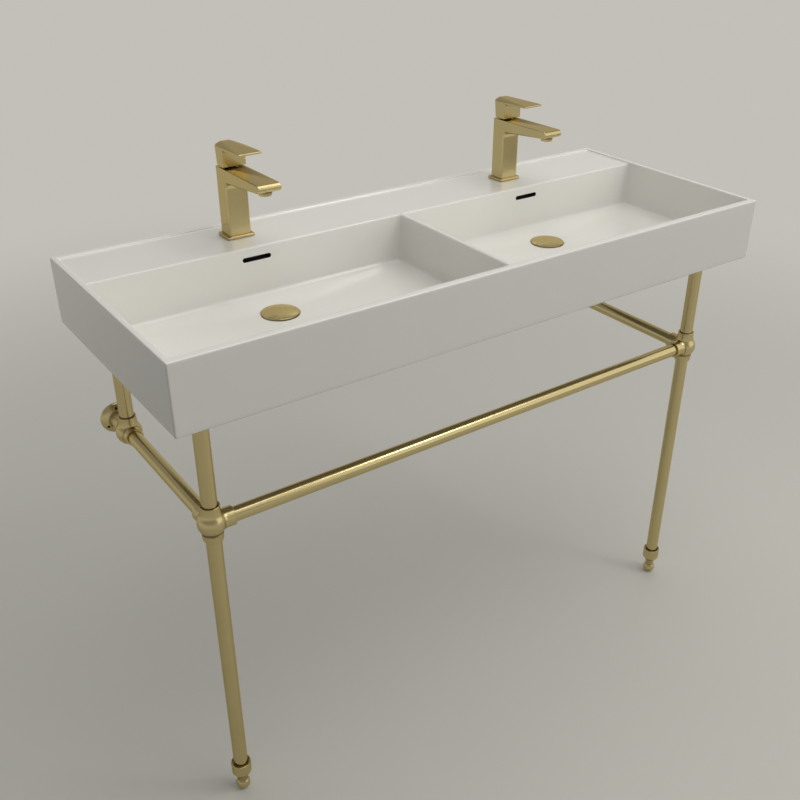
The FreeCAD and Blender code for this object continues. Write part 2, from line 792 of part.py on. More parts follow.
def profile_body(name, at, points, width):
    """A body of even width across X, from its outline seen from the side."""
    body = doc.addObject("PartDesign::Body", name)
    lay(body, at)
    pad = body.newObject("PartDesign::Pad", "Slab")
    pad.Profile = outline(body, "YZ_Plane", points)
    pad.SideType = "Symmetric"
    bind(pad, Length=width)
    body.Tip = pad
    return body


def tap_body(name, at):
    """The column and spout in one casting, with its bores and waterways."""
    back = S.tap_column_depth / 2
    half = S.tap_column_width / 2
    foot = S.tap_gasket_height + S.tap_plate_height
    top = S.tap_column_height
    root = S.spout_root_height
    tip_low = top + S.spout_rise - S.spout_tip_height
    body = profile_body(
        "TapCasting",
        at,
        [
            (back, foot),
            (back, top),
            (-S.spout_reach, top + S.spout_rise),
            (-S.spout_reach, tip_low),
            (-back, root),
            (-back, foot),
        ],
        S.tap_column_width,
    )
    round_edges(body, S.spout_root_round, lambda a, b: both(a, b, "y", -back) and both(a, b, "z", root))
    round_edges(body, S.spout_tip_round, lambda a, b: both(a, b, "y", -S.spout_reach) and level(a, b, "z"))
    round_edges(body, S.tap_column_round, lambda a, b: both(a, b, "y", back) and level(a, b, "x"))
    round_edges(
        body,
        S.spout_edge_round,
        lambda a, b: (both(a, b, "x", half) or both(a, b, "x", -half)) and not both(a, b, "z", foot),
    )

    aerator_y = S.aerator_from_tip - S.spout_reach
    seat = aerator_seat()
    snug = S.fit_clearance
    side = S.inlet_spacing / 2
    spot_face = S.aerator_radius + S.running_clearance
    thread_depth = S.aerator_thread_height + S.aerator_lead
    upright = [
        (S.cartridge_radius + snug, top, (ZERO, ZERO, S.cartridge_bottom)),
        (S.cartridge_nut_radius + snug, top, (ZERO, ZERO, S.cartridge_bottom + S.cartridge_height)),
        (S.stud_radius + snug, S.stud_engagement, (ZERO, S.stud_back, foot)),
        (S.channel_radius, S.channel_height - S.outlet_height, (ZERO, -S.riser_forward, S.outlet_height)),
        (spot_face, S.aerator_height, (ZERO, aerator_y, seat - S.aerator_height)),
        (S.aerator_thread_radius + snug, thread_depth, (ZERO, aerator_y, seat)),
    ]
    for x in (-side, side):
        upright.append((S.inlet_radius, S.inlet_depth, (x, -S.inlet_forward, foot)))
        upright.append((S.passage_radius, S.cartridge_bottom - foot, (x, -S.inlet_forward, foot)))
    for radius, length, place in upright:
        rod(radius, length, place, UP, "PartDesign::SubtractiveCylinder", body)
    for start, end, height in (
        (ZERO, S.riser_forward, S.outlet_height),
        (S.riser_forward, -aerator_y, S.channel_height),
    ):
        place = (ZERO, -start, height)
        rod(S.channel_radius, end - start, place, FROM_Y, "PartDesign::SubtractiveCylinder", body)
    piece(f"{name}_tap_body", body)


def aerator_seat():
    """Height above the deck of the spout's underside at the aerator."""
    back = S.tap_column_depth / 2
    tip_low = S.tap_column_height + S.spout_rise - S.spout_tip_height
    slope = (tip_low - S.spout_root_height) / (S.spout_reach - back)
    return S.spout_root_height + slope * (S.spout_reach - S.aerator_from_tip - back)


def tap_handle(name, at):
    """The lever handle, hollow below, with the socket for the stem and the hole for its screw."""
    back = S.tap_column_depth / 2
    half = S.tap_column_width / 2
    low = S.tap_column_height + S.handle_gap
    top = S.handle_top
    lever_top = top - S.lever_tip_drop
    under = top - S.lever_root_thickness
    body = profile_body(
        "HandleCasting",
        at,
        [
            (back, low),
            (back, top),
            (-S.lever_reach, lever_top),
            (-S.lever_reach, lever_top - S.lever_tip_thickness),
            (-back, under),
            (-back, low),
        ],
        S.tap_column_width,
    )
    round_edges(body, S.lever_root_round, lambda a, b: both(a, b, "y", -back) and both(a, b, "z", under))
    round_edges(body, S.lever_tip_round, lambda a, b: both(a, b, "y", -S.lever_reach) and level(a, b, "z"))
    round_edges(body, S.handle_back_round, lambda a, b: both(a, b, "y", back) and both(a, b, "z", top))
    round_edges(body, S.handle_foot_round, lambda a, b: both(a, b, "y", back) and both(a, b, "z", low))
    round_edges(
        body,
        S.handle_side_round,
        lambda a, b: (both(a, b, "x", half) or both(a, b, "x", -half)) and not both(a, b, "z", low),
    )
    inner = half - S.handle_wall
    deep = back - S.handle_wall
    stem_x = S.stem_width / 2 + S.fit_clearance
    stem_y = S.stem_depth / 2 + S.fit_clearance
    for near_corner, far_corner in (
        ((-inner, -deep, low), (inner, deep, S.handle_cavity_top)),
        (
            (-stem_x, S.pivot_back - stem_y, S.handle_cavity_top),
            (stem_x, S.pivot_back + stem_y, S.stem_top + S.fit_clearance),
        ),
    ):
        block(near_corner, far_corner, "PartDesign::SubtractiveBox", body)
    screw_start = (ZERO, S.pivot_back + S.stem_depth / 2, S.handle_screw_height)
    screw_hole = S.handle_screw_radius + S.fit_clearance
    rod(screw_hole, back, screw_start, TO_Y, "PartDesign::SubtractiveCylinder", body)
    piece(f"{name}_tap_handle", body)


def shift(place, x, y, z):
    """A point moved by three lengths."""
    return (place[0] + x, place[1] + y, place[2] + z)


def cartridge_set(name, at):
    """The mixing cartridge, its turning head, and the pin and stem that carry the handle."""
    top = S.cartridge_bottom + S.cartridge_height
    side = S.inlet_spacing / 2
    ports = [
        rod(
            S.cartridge_port_radius,
            S.cartridge_port_depth,
            shift(at, x, -S.inlet_forward, S.cartridge_bottom),
        )
        for x in (-side, side)
    ]
    outlet_start = S.cartridge_radius - S.cartridge_port_depth
    outlet_at = shift(at, ZERO, -outlet_start, S.outlet_height)
    ports.append(rod(S.channel_radius, S.cartridge_radius, outlet_at, FROM_Y))
    core = rod(S.cartridge_radius, S.cartridge_height, shift(at, ZERO, ZERO, S.cartridge_bottom))
    piece(f"{name}_cartridge", cut(core, *ports))

    yoke_low = S.tap_column_height + S.running_clearance
    yoke_top = yoke_low + S.turret_yoke_height
    shaft_low = top + S.running_clearance
    width = S.yoke_width / 2
    gap = S.ear_gap / 2
    ear_back = S.pivot_back + S.ear_depth / 2
    ear_front = S.pivot_back - S.ear_depth / 2
    pivot = yoke_top + S.pivot_rise
    ear_top = yoke_top + S.ear_height
    shapes = [
        rod(S.turret_radius, yoke_low - shaft_low, shift(at, ZERO, ZERO, shaft_low)),
        block(shift(at, -width, -S.yoke_front, yoke_low), shift(at, width, S.yoke_back, yoke_top)),
        block(shift(at, gap, ear_front, yoke_low), shift(at, width, ear_back, ear_top)),
        block(shift(at, -width, ear_front, yoke_low), shift(at, -gap, ear_back, ear_top)),
    ]
    pin_at = shift(at, -width, S.pivot_back, pivot)
    pin_hole = S.pivot_radius + S.fit_clearance
    piece(f"{name}_turret", cut(fuse(*shapes), rod(pin_hole, S.yoke_width, pin_at, TO_X)))
    piece(f"{name}_lever_pin", rod(S.pivot_radius, S.yoke_width, pin_at, TO_X))

    stem_x = S.stem_width / 2
    stem_y = S.stem_depth / 2
    stem = block(
        shift(at, -stem_x, S.pivot_back - stem_y, pivot - S.stem_below_pivot),
        shift(at, stem_x, S.pivot_back + stem_y, S.stem_top),
    )
    piece(f"{name}_handle_stem", cut(stem, rod(pin_hole, S.yoke_width, pin_at, TO_X)))
    screw_y = S.pivot_back + stem_y
    screw_length = S.tap_column_depth / 2 - S.handle_screw_inset - screw_y
    screw_at = shift(at, ZERO, screw_y, S.handle_screw_height)
    piece(f"{name}_handle_screw", rod(S.handle_screw_radius, screw_length, screw_at, TO_Y))
    bore = S.turret_radius + S.running_clearance
    return ring(S.cartridge_nut_radius, bore, S.cartridge_nut_height, shift(at, ZERO, ZERO, top))


def aerator(name, at):
    """The aerator's threaded ring, and the insert with its jets."""
    middle = shift(at, ZERO, S.aerator_from_tip - S.spout_reach, aerator_seat() - S.aerator_height)
    height = S.aerator_height + S.aerator_thread_height
    shell = fuse(
        rod(S.aerator_radius, S.aerator_height, middle),
        rod(S.aerator_thread_radius, height, middle),
    )
    piece(f"{name}_aerator", cut(shell, rod(S.aerator_bore_radius, height, middle)))
    low = shift(middle, ZERO, ZERO, S.aerator_insert_recess)
    jets = []
    for step in range(AERATOR_JETS):
        angle = math.radians(step * 360 / AERATOR_JETS)
        across = S.jet_circle_radius * math.cos(angle)
        along = S.jet_circle_radius * math.sin(angle)
        jets.append(rod(S.jet_radius, S.aerator_insert_height, shift(low, across, along, ZERO)))
    return cut(rod(S.aerator_bore_radius - S.fit_clearance, S.aerator_insert_height, low), *jets)


def tap_base(name, at):
    """The base plate under a tap, and the gasket, stud, clamp and nut that hold it to the deck."""
    half_x = S.tap_column_width / 2 + S.tap_plate_rim
    half_y = S.tap_column_depth / 2 + S.tap_plate_rim
    low = S.tap_gasket_height
    top = low + S.tap_plate_height
    body = doc.addObject("PartDesign::Body", "PlateCasting")
    lay(body, at)
    block((-half_x, -half_y, low), (half_x, half_y, top), "PartDesign::AdditiveBox", body)
    round_edges(body, S.tap_plate_round, lambda a, b: level(a, b, "x") and level(a, b, "y"))
    round_edges(body, S.tap_plate_edge_round, lambda a, b: both(a, b, "z", top))
    hole_at = (ZERO, ZERO, low)
    rod(S.tap_plate_hole_radius, S.tap_plate_height, hole_at, UP, "PartDesign::SubtractiveCylinder", body)
    piece(f"{name}_tap_base_plate", body)

    inset = S.tap_gasket_inset
    sheet_low = shift(at, inset - half_x, inset - half_y, ZERO)
    sheet_high = shift(at, half_x - inset, half_y - inset, low)
    gasket = cut(block(sheet_low, sheet_high), rod(S.tap_plate_hole_radius, low, at))
    stud_low = top + S.stud_engagement - S.stud_length
    stud = rod(S.stud_radius, S.stud_length, shift(at, ZERO, S.stud_back, stud_low))
    sleeve = S.stud_radius + S.fit_clearance
    clamp_low = -S.deck_wall - S.clamp_height
    throat = S.clamp_throat / 2
    web = S.stud_back - S.stud_radius - S.clamp_web
    clamp = cut(
        rod(S.clamp_radius, S.clamp_height, shift(at, ZERO, ZERO, clamp_low)),
        block(shift(at, -throat, -S.clamp_radius, clamp_low), shift(at, throat, web, -S.deck_wall)),
        rod(sleeve, S.clamp_height, shift(at, ZERO, S.stud_back, clamp_low)),
    )
    nut_at = shift(at, ZERO, S.stud_back, clamp_low - S.stud_nut_height)
    stud_nut = nut(sleeve, S.stud_nut_radius - sleeve, S.stud_nut_height, nut_at)
    return gasket, stud, clamp, stud_nut


def taps():
    """Both taps, with their alike small parts grouped."""
    sets = []
    for name, side in SIDES.items():
        at = (BOWL_MIDDLE * side, TAP_Y, DECK)
        tap_body(name, at)
        tap_handle(name, at)
        sets.append((cartridge_set(name, at), aerator(name, at), *tap_base(name, at)))
    labels = (
        "cartridge_nuts",
        "aerator_inserts",
        "tap_base_gaskets",
        "tap_studs",
        "tap_clamp_washers",
        "tap_stud_nuts",
    )
    for label, pair in zip(labels, zip(*sets)):
        piece(label, group(*pair))


def write_parts():
    """Checks every object and sub-part, then writes one file for each sub-part."""
    doc.recompute()
    faults = [f"{obj.Name} {obj.State}" for obj in doc.Objects if {"Invalid", "Error"} & set(obj.State)]
    for label, obj in PIECES.items():
        if obj.Shape.isNull() or not obj.Shape.isValid() or not obj.Shape.Solids:
            faults.append(f"{label} has no valid solid")
    if faults:
        raise RuntimeError("; ".join(faults))
    os.makedirs("parts", exist_ok=True)
    for label, obj in PIECES.items():
        obj.Shape.exportStep(f"parts/{label}.step")


basin()
stand()
drains()
taps()
write_parts()
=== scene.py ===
"""Looks of a two-bowl console washbasin on a satin brass stand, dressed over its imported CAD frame."""

from __future__ import annotations

import json
import logging
import math
from dataclasses import dataclass
from enum import Enum
from typing import Any, Callable, Iterable, Sequence

import bmesh
import bpy
from mathutils import Matrix, Vector

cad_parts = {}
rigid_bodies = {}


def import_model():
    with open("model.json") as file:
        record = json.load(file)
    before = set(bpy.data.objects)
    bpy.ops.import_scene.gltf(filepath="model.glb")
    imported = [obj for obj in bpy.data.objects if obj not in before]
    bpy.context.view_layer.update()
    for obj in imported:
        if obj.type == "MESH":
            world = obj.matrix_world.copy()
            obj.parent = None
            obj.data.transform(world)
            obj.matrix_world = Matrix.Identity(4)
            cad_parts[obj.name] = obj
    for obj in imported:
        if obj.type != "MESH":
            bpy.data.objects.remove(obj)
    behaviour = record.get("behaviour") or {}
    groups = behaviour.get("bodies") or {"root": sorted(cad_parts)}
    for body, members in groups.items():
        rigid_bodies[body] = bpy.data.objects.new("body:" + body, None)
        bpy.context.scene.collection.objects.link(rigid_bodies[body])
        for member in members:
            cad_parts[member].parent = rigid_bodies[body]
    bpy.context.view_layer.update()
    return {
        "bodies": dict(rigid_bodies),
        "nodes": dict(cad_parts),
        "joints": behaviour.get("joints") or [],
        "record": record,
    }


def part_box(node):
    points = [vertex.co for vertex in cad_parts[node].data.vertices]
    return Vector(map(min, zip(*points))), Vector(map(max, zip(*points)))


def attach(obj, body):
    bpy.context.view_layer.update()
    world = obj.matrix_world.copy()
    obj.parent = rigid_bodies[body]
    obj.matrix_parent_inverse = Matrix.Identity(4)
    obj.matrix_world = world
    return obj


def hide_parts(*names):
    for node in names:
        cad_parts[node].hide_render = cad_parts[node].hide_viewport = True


LOG = logging.getLogger("washbasin")
SEAM = "seam"
MM = 0.001
SHARP = math.radians(34)
EASED = math.radians(28)
SEAM_FADE = 1.5
# Metres within which points are one point or lie on a cut
WELD = 1e-6
ON_CUT = 1e-7
# Millimetres within which two lines are one line, and a point counts as on an outer face
SAME = 0.01
NEAR = 1.0
EAST = Vector((1, 0, 0))
BACK = Vector((0, 1, 0))
UP = Vector((0, 0, 1))
Point = tuple[float, float]
Triple = tuple[float, float, float]
Profile = tuple[Point, ...]
Shape = bmesh.types.BMesh
Material = bpy.types.Material


class Side(Enum):
    """The two ends of the washbasin, with the sign of their X."""

    LEFT = -1
    RIGHT = 1

    @property
    def word(self) -> str:
        """The side's word in node and body names."""
        return self.name.lower()


class Slot(Enum):
    """The record's material slots."""

    CERAMIC = "ceramic"
    BRASS = "brass"
    STEEL = "steel"
    RUBBER = "rubber"
    PLASTIC = "plastic"


class Run(Enum):
    """The direction in which a piece's satin grain runs, as noise scales per metre."""

    X = (30.0, 1500.0, 1500.0)
    Y = (1500.0, 30.0, 1500.0)
    Z = (1500.0, 1500.0, 30.0)
    EVEN = (900.0, 900.0, 900.0)


def tone(red: int, green: int, blue: int) -> Triple:
    """Gives a display colour as linear light.

    Args:
        red: Red from 0 to 255.
        green: Green from 0 to 255.
        blue: Blue from 0 to 255.

    Returns:
        The three linear values from 0 to 1.
    """
    shares = (part / 255 for part in (red, green, blue))
    return tuple(s / 12.92 if s <= 0.04045 else ((s + 0.055) / 1.055) ** 2.4 for s in shares)


def opaque(colour: Triple) -> tuple[float, float, float, float]:
    """Adds full alpha to a colour."""
    return (*colour, 1.0)


def flat(height: float, *places: float) -> Profile:
    """Gives points of a profile that share one height."""
    return tuple((place, height) for place in places)


class Signal:
    """One output socket of a graph, whose operators add Math nodes."""

    def __init__(self, graph: Graph, socket: bpy.types.NodeSocket) -> None:
        """Keeps the socket and the graph that it belongs to."""
        self.graph = graph
        self.socket = socket

    def math(self, operation: str, *terms: Signal | float) -> Signal:
        """Adds a Math node.

        Args:
            operation: The node's operation.
            terms: Its inputs in order.

        Returns:
            The node's result.
        """
        return self.graph.add("ShaderNodeMath", {"operation": operation}, dict(enumerate(terms)))

    def __add__(self, other: Signal | float) -> Signal:
        """Sum."""
        return self.math("ADD", self, other)

    def __radd__(self, other: float) -> Signal:
        """Sum with a number first."""
        return self.math("ADD", other, self)

    def __sub__(self, other: Signal | float) -> Signal:
        """Difference."""
        return self.math("SUBTRACT", self, other)

    def __rsub__(self, other: float) -> Signal:
        """Difference from a number."""
        return self.math("SUBTRACT", other, self)

    def __mul__(self, other: Signal | float) -> Signal:
        """Product."""
        return self.math("MULTIPLY", self, other)

    def __rmul__(self, other: float) -> Signal:
        """Product with a number first."""
        return self.math("MULTIPLY", other, self)

    def at_least(self, other: Signal | float) -> Signal:
        """The larger of two values."""
        return self.math("MAXIMUM", self, other)

    def about(self, middle: float, width: float) -> Signal:
        """A noise spread about a middle value."""
        return middle + width * (self - 0.5)


class Graph:
    """A node tree that is being wired, of a material or of the world."""

    def __init__(self, owner: Material | bpy.types.World) -> None:
        """Empties the owner's node tree."""
        owner.use_nodes = True
        self.owner = owner
        self.tree = owner.node_tree
        self.tree.nodes.clear()

    @classmethod
    def material(cls, name: str) -> Graph:
        """Starts a new material."""
        return cls(bpy.data.materials.new(name))

    def add(
        self,
        kind: str,
        settings: dict[str, Any] | None = None,
        sockets: dict[str | int, Any] | None = None,
        output: str | int = 0,
    ) -> Signal:
        """Adds any node.

        Args:
            kind: The node's type.
            settings: Its properties, set first.
            sockets: Values or links of its inputs, by name or number.
            output: The output to hand on, by name or number.

        Returns:
            That output, or the first input of a node without outputs.
        """
        node = self.tree.nodes.new(kind)
        for name, value in (settings or {}).items():
            setattr(node, name, value)
        for key, value in (sockets or {}).items():
            if isinstance(value, Signal):
                self.tree.links.new(value.socket, node.inputs[key])
            else:
                node.inputs[key].default_value = value
        return Signal(self, node.outputs[output]) if node.outputs else Signal(self, node.inputs[0])

    def place(self) -> Signal:
        """Object coordinates, which stay with the piece."""
        return self.add("ShaderNodeTexCoord", output="Object")

    def noise(self, where: Signal, scale: float, detail: float = 2.0) -> Signal:
        """Adds a noise from 0 to 1 with a scale per metre."""
        return self.add("ShaderNodeTexNoise", None, {"Vector": where, "Scale": scale, "Detail": detail})

    def mix(self, share: Signal, first: Signal | Triple, second: Signal | Triple) -> Signal:
        """Mixes two colours.

        Args:
            share: The second colour's share.
            first: One colour.
            second: The other colour.

        Returns:
            The mixed colour.
        """
        ends = [c if isinstance(c, Signal) else opaque(c) for c in (first, second)]
        sockets = {0: share, 6: ends[0], 7: ends[1]}
        return self.add("ShaderNodeMix", {"data_type": "RGBA"}, sockets, output=2)

    def relief(self, height: Signal, strength: float, depth: float) -> Signal:
        """Bends the normal after a height whose size is in metres."""
        return self.add("ShaderNodeBump", None, {"Height": height, "Strength": strength, "Distance": depth})

    def fade(self, value: Signal, start: float, stop: float) -> Signal:
        """Rises smoothly from 0 to 1 while a value goes from start to stop."""
        span = {"Value": value, "From Min": start, "From Max": stop}
        return self.add("ShaderNodeMapRange", {"interpolation_type": "SMOOTHSTEP"}, span)

    def surface(self, sockets: dict[str, Any]) -> Material:
        """Ends a material in a Principled shader with these sockets, and gives it."""
        shader = self.add("ShaderNodeBsdfPrincipled", None, sockets)
        self.add("ShaderNodeOutputMaterial", None, {"Surface": shader})
        return self.owner


@dataclass(frozen=True)
class SatinBrass:
    """Satin brass: a fine grain in the gloss, a slow drift of colour, and tarnish with painted shade
    darkening the seams.
    """

    run: Run = Run.EVEN
    light: Triple = tone(207, 191, 143)
    deep: Triple = tone(197, 181, 132)
    # Dark brown that the brass turns to near seams: tarnish and painted shade
    tarnish: Triple = tone(74, 56, 26)
    edge: Triple = tone(246, 234, 206)
    roughness: float = 0.26
    drawn_roughness: float = 0.2
    seam_roughness: float = 0.25
    grain: float = 0.05
    grain_detail: float = 3.0
    relief: Point = (0.02, 0.00012)
    drift_scale: float = 11.0
    tarnish_least: float = 0.55
    tarnish_drift: float = 0.4

    def material(self) -> Material:
        """Wires the finish for its grain direction."""
        graph = Graph.material(f"satin_brass_{self.run.name.lower()}")
        where = graph.place()
        lengthwise = graph.add("ShaderNodeMapping", None, {"Vector": where, "Scale": self.run.value})
        streak = graph.noise(lengthwise, 1.0, self.grain_detail)
        drift = graph.noise(where, self.drift_scale)
        # Near seams the brass darkens to dark brown: partly tarnish, partly painted shade in joints and gaps
        seam = graph.add("ShaderNodeAttribute", {"attribute_name": SEAM}, output="Fac")
        clean = graph.mix(drift, self.deep, self.light)
        tarnish_and_shade_share = seam * (self.tarnish_least + self.tarnish_drift * drift)
        even = self.roughness if self.run is Run.EVEN else self.drawn_roughness
        return graph.surface(
            {
                "Base Color": graph.mix(tarnish_and_shade_share, clean, self.tarnish),
                "Metallic": 1.0,
                "Roughness": streak.about(even, self.grain) + self.seam_roughness * seam,
                "Specular Tint": opaque(self.edge),
                "Normal": graph.relief(streak, *self.relief),
            }
        )


@dataclass(frozen=True)
class GlazedCeramic:
    """White sanitary glaze: nearly even in colour, wavy in its gloss, under a clear coat."""

    light: Triple = tone(236, 235, 231)
    deep: Triple = tone(231, 230, 225)
    roughness: float = 0.22
    gloss_swing: float = 0.08
    cloud: Point = (7.0, 3.0)
    ripple: Point = (38.0, 2.0)
    relief: Point = (0.05, 0.0004)
    coat: float = 0.8
    coat_roughness: float = 0.04
    coat_bend: float = 1.5

    def material(self) -> Material:
        """Wires the finish."""
        graph = Graph.material("glazed_ceramic")
        where = graph.place()
        cloud = graph.noise(where, *self.cloud)
        ripple = graph.noise(where, *self.ripple)
        return graph.surface(
            {
                "Base Color": graph.mix(cloud, self.deep, self.light),
                "Roughness": ripple.about(self.roughness, self.gloss_swing),
                "Normal": graph.relief(ripple, *self.relief),
                "Coat Weight": self.coat,
                "Coat Roughness": self.coat_roughness,
                "Coat IOR": self.coat_bend,
            }
        )


@dataclass(frozen=True)
class Speckled:
    """A plain finish with a fine speckle: rubber, moulded plastic, or a near-black that paints shade inside
    the overflow slots and screw holes.
    """

    name: str
    light: Triple
    deep: Triple
    roughness: float
    scale: float
    relief: float
    relief_depth: float = 0.0003
    gloss_swing: float = 0.2
    detail: float = 4.0

    def material(self) -> Material:
        """Wires the finish."""
        graph = Graph.material(self.name)
        speckle = graph.noise(graph.place(), self.scale, self.detail)
        return graph.surface(
            {
                "Base Color": graph.mix(speckle, self.deep, self.light),
                "Roughness": speckle.about(self.roughness, self.gloss_swing),
                "Normal": graph.relief(speckle, self.relief, self.relief_depth),
            }
        )


@dataclass(frozen=True)
class PlatedSteel:
    """Zinc-plated steel of the hidden fixings: grey with cloudy spangle."""

    light: Triple = tone(196, 197, 198)
    deep: Triple = tone(150, 152, 155)
    roughness: float = 0.36
    gloss_swing: float = 0.2
    spangle: float = 420.0
    cloud: Point = (160.0, 3.0)
    relief: Point = (0.1, 0.0001)

    def material(self) -> Material:
        """Wires the finish."""
        graph = Graph.material("plated_steel")
        where = graph.place()
        spangle = graph.add("ShaderNodeTexVoronoi", None, {"Vector": where, "Scale": self.spangle})
        cloud = graph.noise(where, *self.cloud)
        return graph.surface(
            {
                "Base Color": graph.mix(spangle, self.light, self.deep),
                "Metallic": 1.0,
                "Roughness": cloud.about(self.roughness, self.gloss_swing),
                "Normal": graph.relief(cloud, *self.relief),
            }
        )


class FinishRack:
    """Every material of the washbasin, made once."""

    def __init__(self) -> None:
        """Makes the materials."""
        self.brass = {run: SatinBrass(run).material() for run in Run}
        self.ceramic = GlazedCeramic().material()
        # Name, light and deep tone, roughness, scale of the speckle and strength of its relief
        rows = (
            # The first row is painted shade: a near-black for the insides of the overflow slots and of the
            # flange's screw holes
            ("shaded_duct", tone(20, 19, 18), tone(10, 10, 10), 0.8, 300.0, 0.2),
            ("black_rubber", tone(46, 45, 44), tone(30, 30, 30), 0.75, 900.0, 0.3),
            ("black_plastic", tone(34, 33, 32), tone(22, 22, 22), 0.5, 1400.0, 0.15),
        )
        # The duct finish is that near-black painted shade
        self.duct, self.rubber, self.plastic = (Speckled(*row).material() for row in rows)
        self.steel = PlatedSteel().material()

    def of(self, slot: Slot) -> Material:
        """Gives the finish that a carried-over node of a slot takes.

        Args:
            slot: The record's slot.

        Returns:
            Its material.
        """
        return {
            Slot.CERAMIC: self.ceramic,
            Slot.BRASS: self.brass[Run.EVEN],
            Slot.STEEL: self.steel,
            Slot.RUBBER: self.rubber,
            Slot.PLASTIC: self.plastic,
        }[slot]


@dataclass(frozen=True)
class SeamRing:
    """A round seam where the brass is darkened: tarnish and painted shade in the joint."""

    centre: Vector
    axis: Vector
    radius: float
    reach: float

    @classmethod
    def rings(cls, centre: Vector, axis: Vector, *rows: Triple) -> list[SeamRing]:
        """Gives seams about one axis.

        Args:
            centre: Where heights are zero.
            axis: The axis.
            rows: Height, radius and reach of each seam in mm.

        Returns:
            The seams.
        """
        return [cls(centre + axis * (rise * MM), axis, wide * MM, reach * MM) for rise, wide, reach in rows]

    def hold(self, spot: Vector) -> float:
        """Gives how strongly the seam marks a spot: 1 at the seam, falling to 0 at its reach."""
        away = spot - self.centre
        along = away.dot(self.axis)
        across = (away - self.axis * along).length - self.radius
        return max(0.0, 1.0 - math.hypot(along, across) / self.reach) ** SEAM_FADE


@dataclass
class Bench:
    """Shared bench work: turning, easing, carving and handing pieces to the frame."""

    rack: FinishRack

    @staticmethod
    def middle(node: str) -> Vector:
        """The middle of a CAD node's box."""
        low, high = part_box(node)
        return (low + high) / 2

    @staticmethod
    def under(node: str) -> Vector:
        """The middle of the underside of a CAD node's box."""
        spot = Bench.middle(node)
        spot.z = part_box(node)[0].z
        return spot

    @staticmethod
    def length(node: str, axis: Vector) -> float:
        """A CAD node's length along an axis in mm."""
        low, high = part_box(node)
        return (high - low).dot(axis) / MM

    @staticmethod
    def bar(radius: float, low: float, high: float) -> Profile:
        """The outline of a round bar in mm."""
        return ((0.0, low), (radius, low), (radius, high), (0.0, high))

    @staticmethod
    def arc(centre: Point, radius: float, start: float, stop: float, steps: int) -> list[Point]:
        """Gives the points of an arc in an outline.

        Args:
            centre: The arc's middle as radius and height in mm.
            radius: Its radius in mm.
            start: Its first angle in degrees above the level.
            stop: Its last angle.
            steps: How many chords it has.

        Returns:
            Its points as radius and height in mm.
        """
        angles = (math.radians(start + (stop - start) * step / steps) for step in range(steps + 1))
        return [(centre[0] + radius * math.cos(a), centre[1] + radius * math.sin(a)) for a in angles]

    @staticmethod
    def turned(
        outline: Sequence[Point], centre: Vector, axis: Vector = UP, closed: bool = False, steps: int = 64
    ) -> Shape:
        """Turns an outline about an axis.

        Args:
            outline: Points as radius and height in mm.
            centre: Where the outline's zero height lies.
            axis: The axis to turn about.
            closed: Whether the last point joins the first.
            steps: How many sides the turned shape has.

        Returns:
            The turned shape.
        """
        bm = bmesh.new()
        verts = [bm.verts.new((radius * MM, 0, height * MM)) for radius, height in outline]
        ends = verts[1:] + verts[:1] if closed else verts[1:]
        edges = [bm.edges.new(pair) for pair in zip(verts, ends)]
        bmesh.ops.spin(
            bm,
            geom=verts + edges,
            cent=(0, 0, 0),
            axis=(0, 0, 1),
            angle=math.tau,
            steps=steps,
            use_merge=True,
        )
        bmesh.ops.remove_doubles(bm, verts=bm.verts[:], dist=WELD)
        bmesh.ops.recalc_face_normals(bm, faces=bm.faces[:])
        turn = UP.rotation_difference(axis).to_matrix().to_4x4()
        bmesh.ops.transform(bm, matrix=Matrix.Translation(centre) @ turn, verts=bm.verts[:])
        return bm

    @staticmethod
    def brick(low: Vector, high: Vector) -> Shape:
        """Makes a block between two corners in metres."""
        bm = bmesh.new()
        size = Matrix.Diagonal((*(high - low), 1.0))
        bmesh.ops.create_cube(bm, size=1.0, matrix=Matrix.Translation((low + high) / 2) @ size)
        return bm

    @staticmethod
    def sliced(bm: Shape, axis: Vector, places: Iterable[float]) -> None:
        """Cuts a sheet across an axis at places in mm.

        Args:
            bm: The sheet.
            axis: The direction that the cuts stand across.
            places: Where they are.
        """
        for place in places:
            whole = bm.verts[:] + bm.edges[:] + bm.faces[:]
            bmesh.ops.bisect_plane(bm, geom=whole, plane_co=axis * (place * MM), plane_no=axis, dist=ON_CUT)

    @staticmethod
    def drawn(bm: Shape, faces: Sequence[bmesh.types.BMFace], move: Vector) -> list[bmesh.types.BMFace]:
        """Draws faces out into a body.

        Args:
            bm: The shape.
            faces: The faces to draw out.
            move: How far, in mm.

        Returns:
            The faces at the far end.
        """
        grown = bmesh.ops.extrude_face_region(bm, geom=faces)["geom"]
        moved = [item for item in grown if isinstance(item, bmesh.types.BMVert)]
        bmesh.ops.translate(bm, vec=move * MM, verts=moved)
        return [item for item in grown if isinstance(item, bmesh.types.BMFace)]

    @staticmethod
    def ease(bm: Shape, offset: float) -> None:
        """Rounds every sharp edge by an offset in mm."""
        edges = [edge for edge in bm.edges if edge.calc_face_angle(0.0) > EASED]
        Bench.soften(bm, edges, offset, segments=3)

    @staticmethod
    def soften(bm: Shape, edges: Iterable[bmesh.types.BMEdge], offset: float, segments: int) -> None:
        """Rounds chosen edges.

        Args:
            bm: The shape.
            edges: The edges to round.
            offset: The width of the rounding in mm.
            segments: How many strips it has.
        """
        bmesh.ops.bevel(
            bm,
            geom=list(edges),
            offset=offset * MM,
            offset_type="OFFSET",
            affect="EDGES",
            segments=segments,
            profile=0.5,
            material=-1,
            clamp_overlap=True,
        )

    @staticmethod
    def joined(*shapes: Shape) -> Shape:
        """Puts several shapes in one and frees them.

        Args:
            shapes: The shapes.

        Returns:
            One shape that holds them all.
        """
        whole = bmesh.new()
        for shape in shapes:
            mesh = bpy.data.meshes.new("shape")
            shape.to_mesh(mesh)
            shape.free()
            whole.from_mesh(mesh)
            bpy.data.meshes.remove(mesh)
        return whole

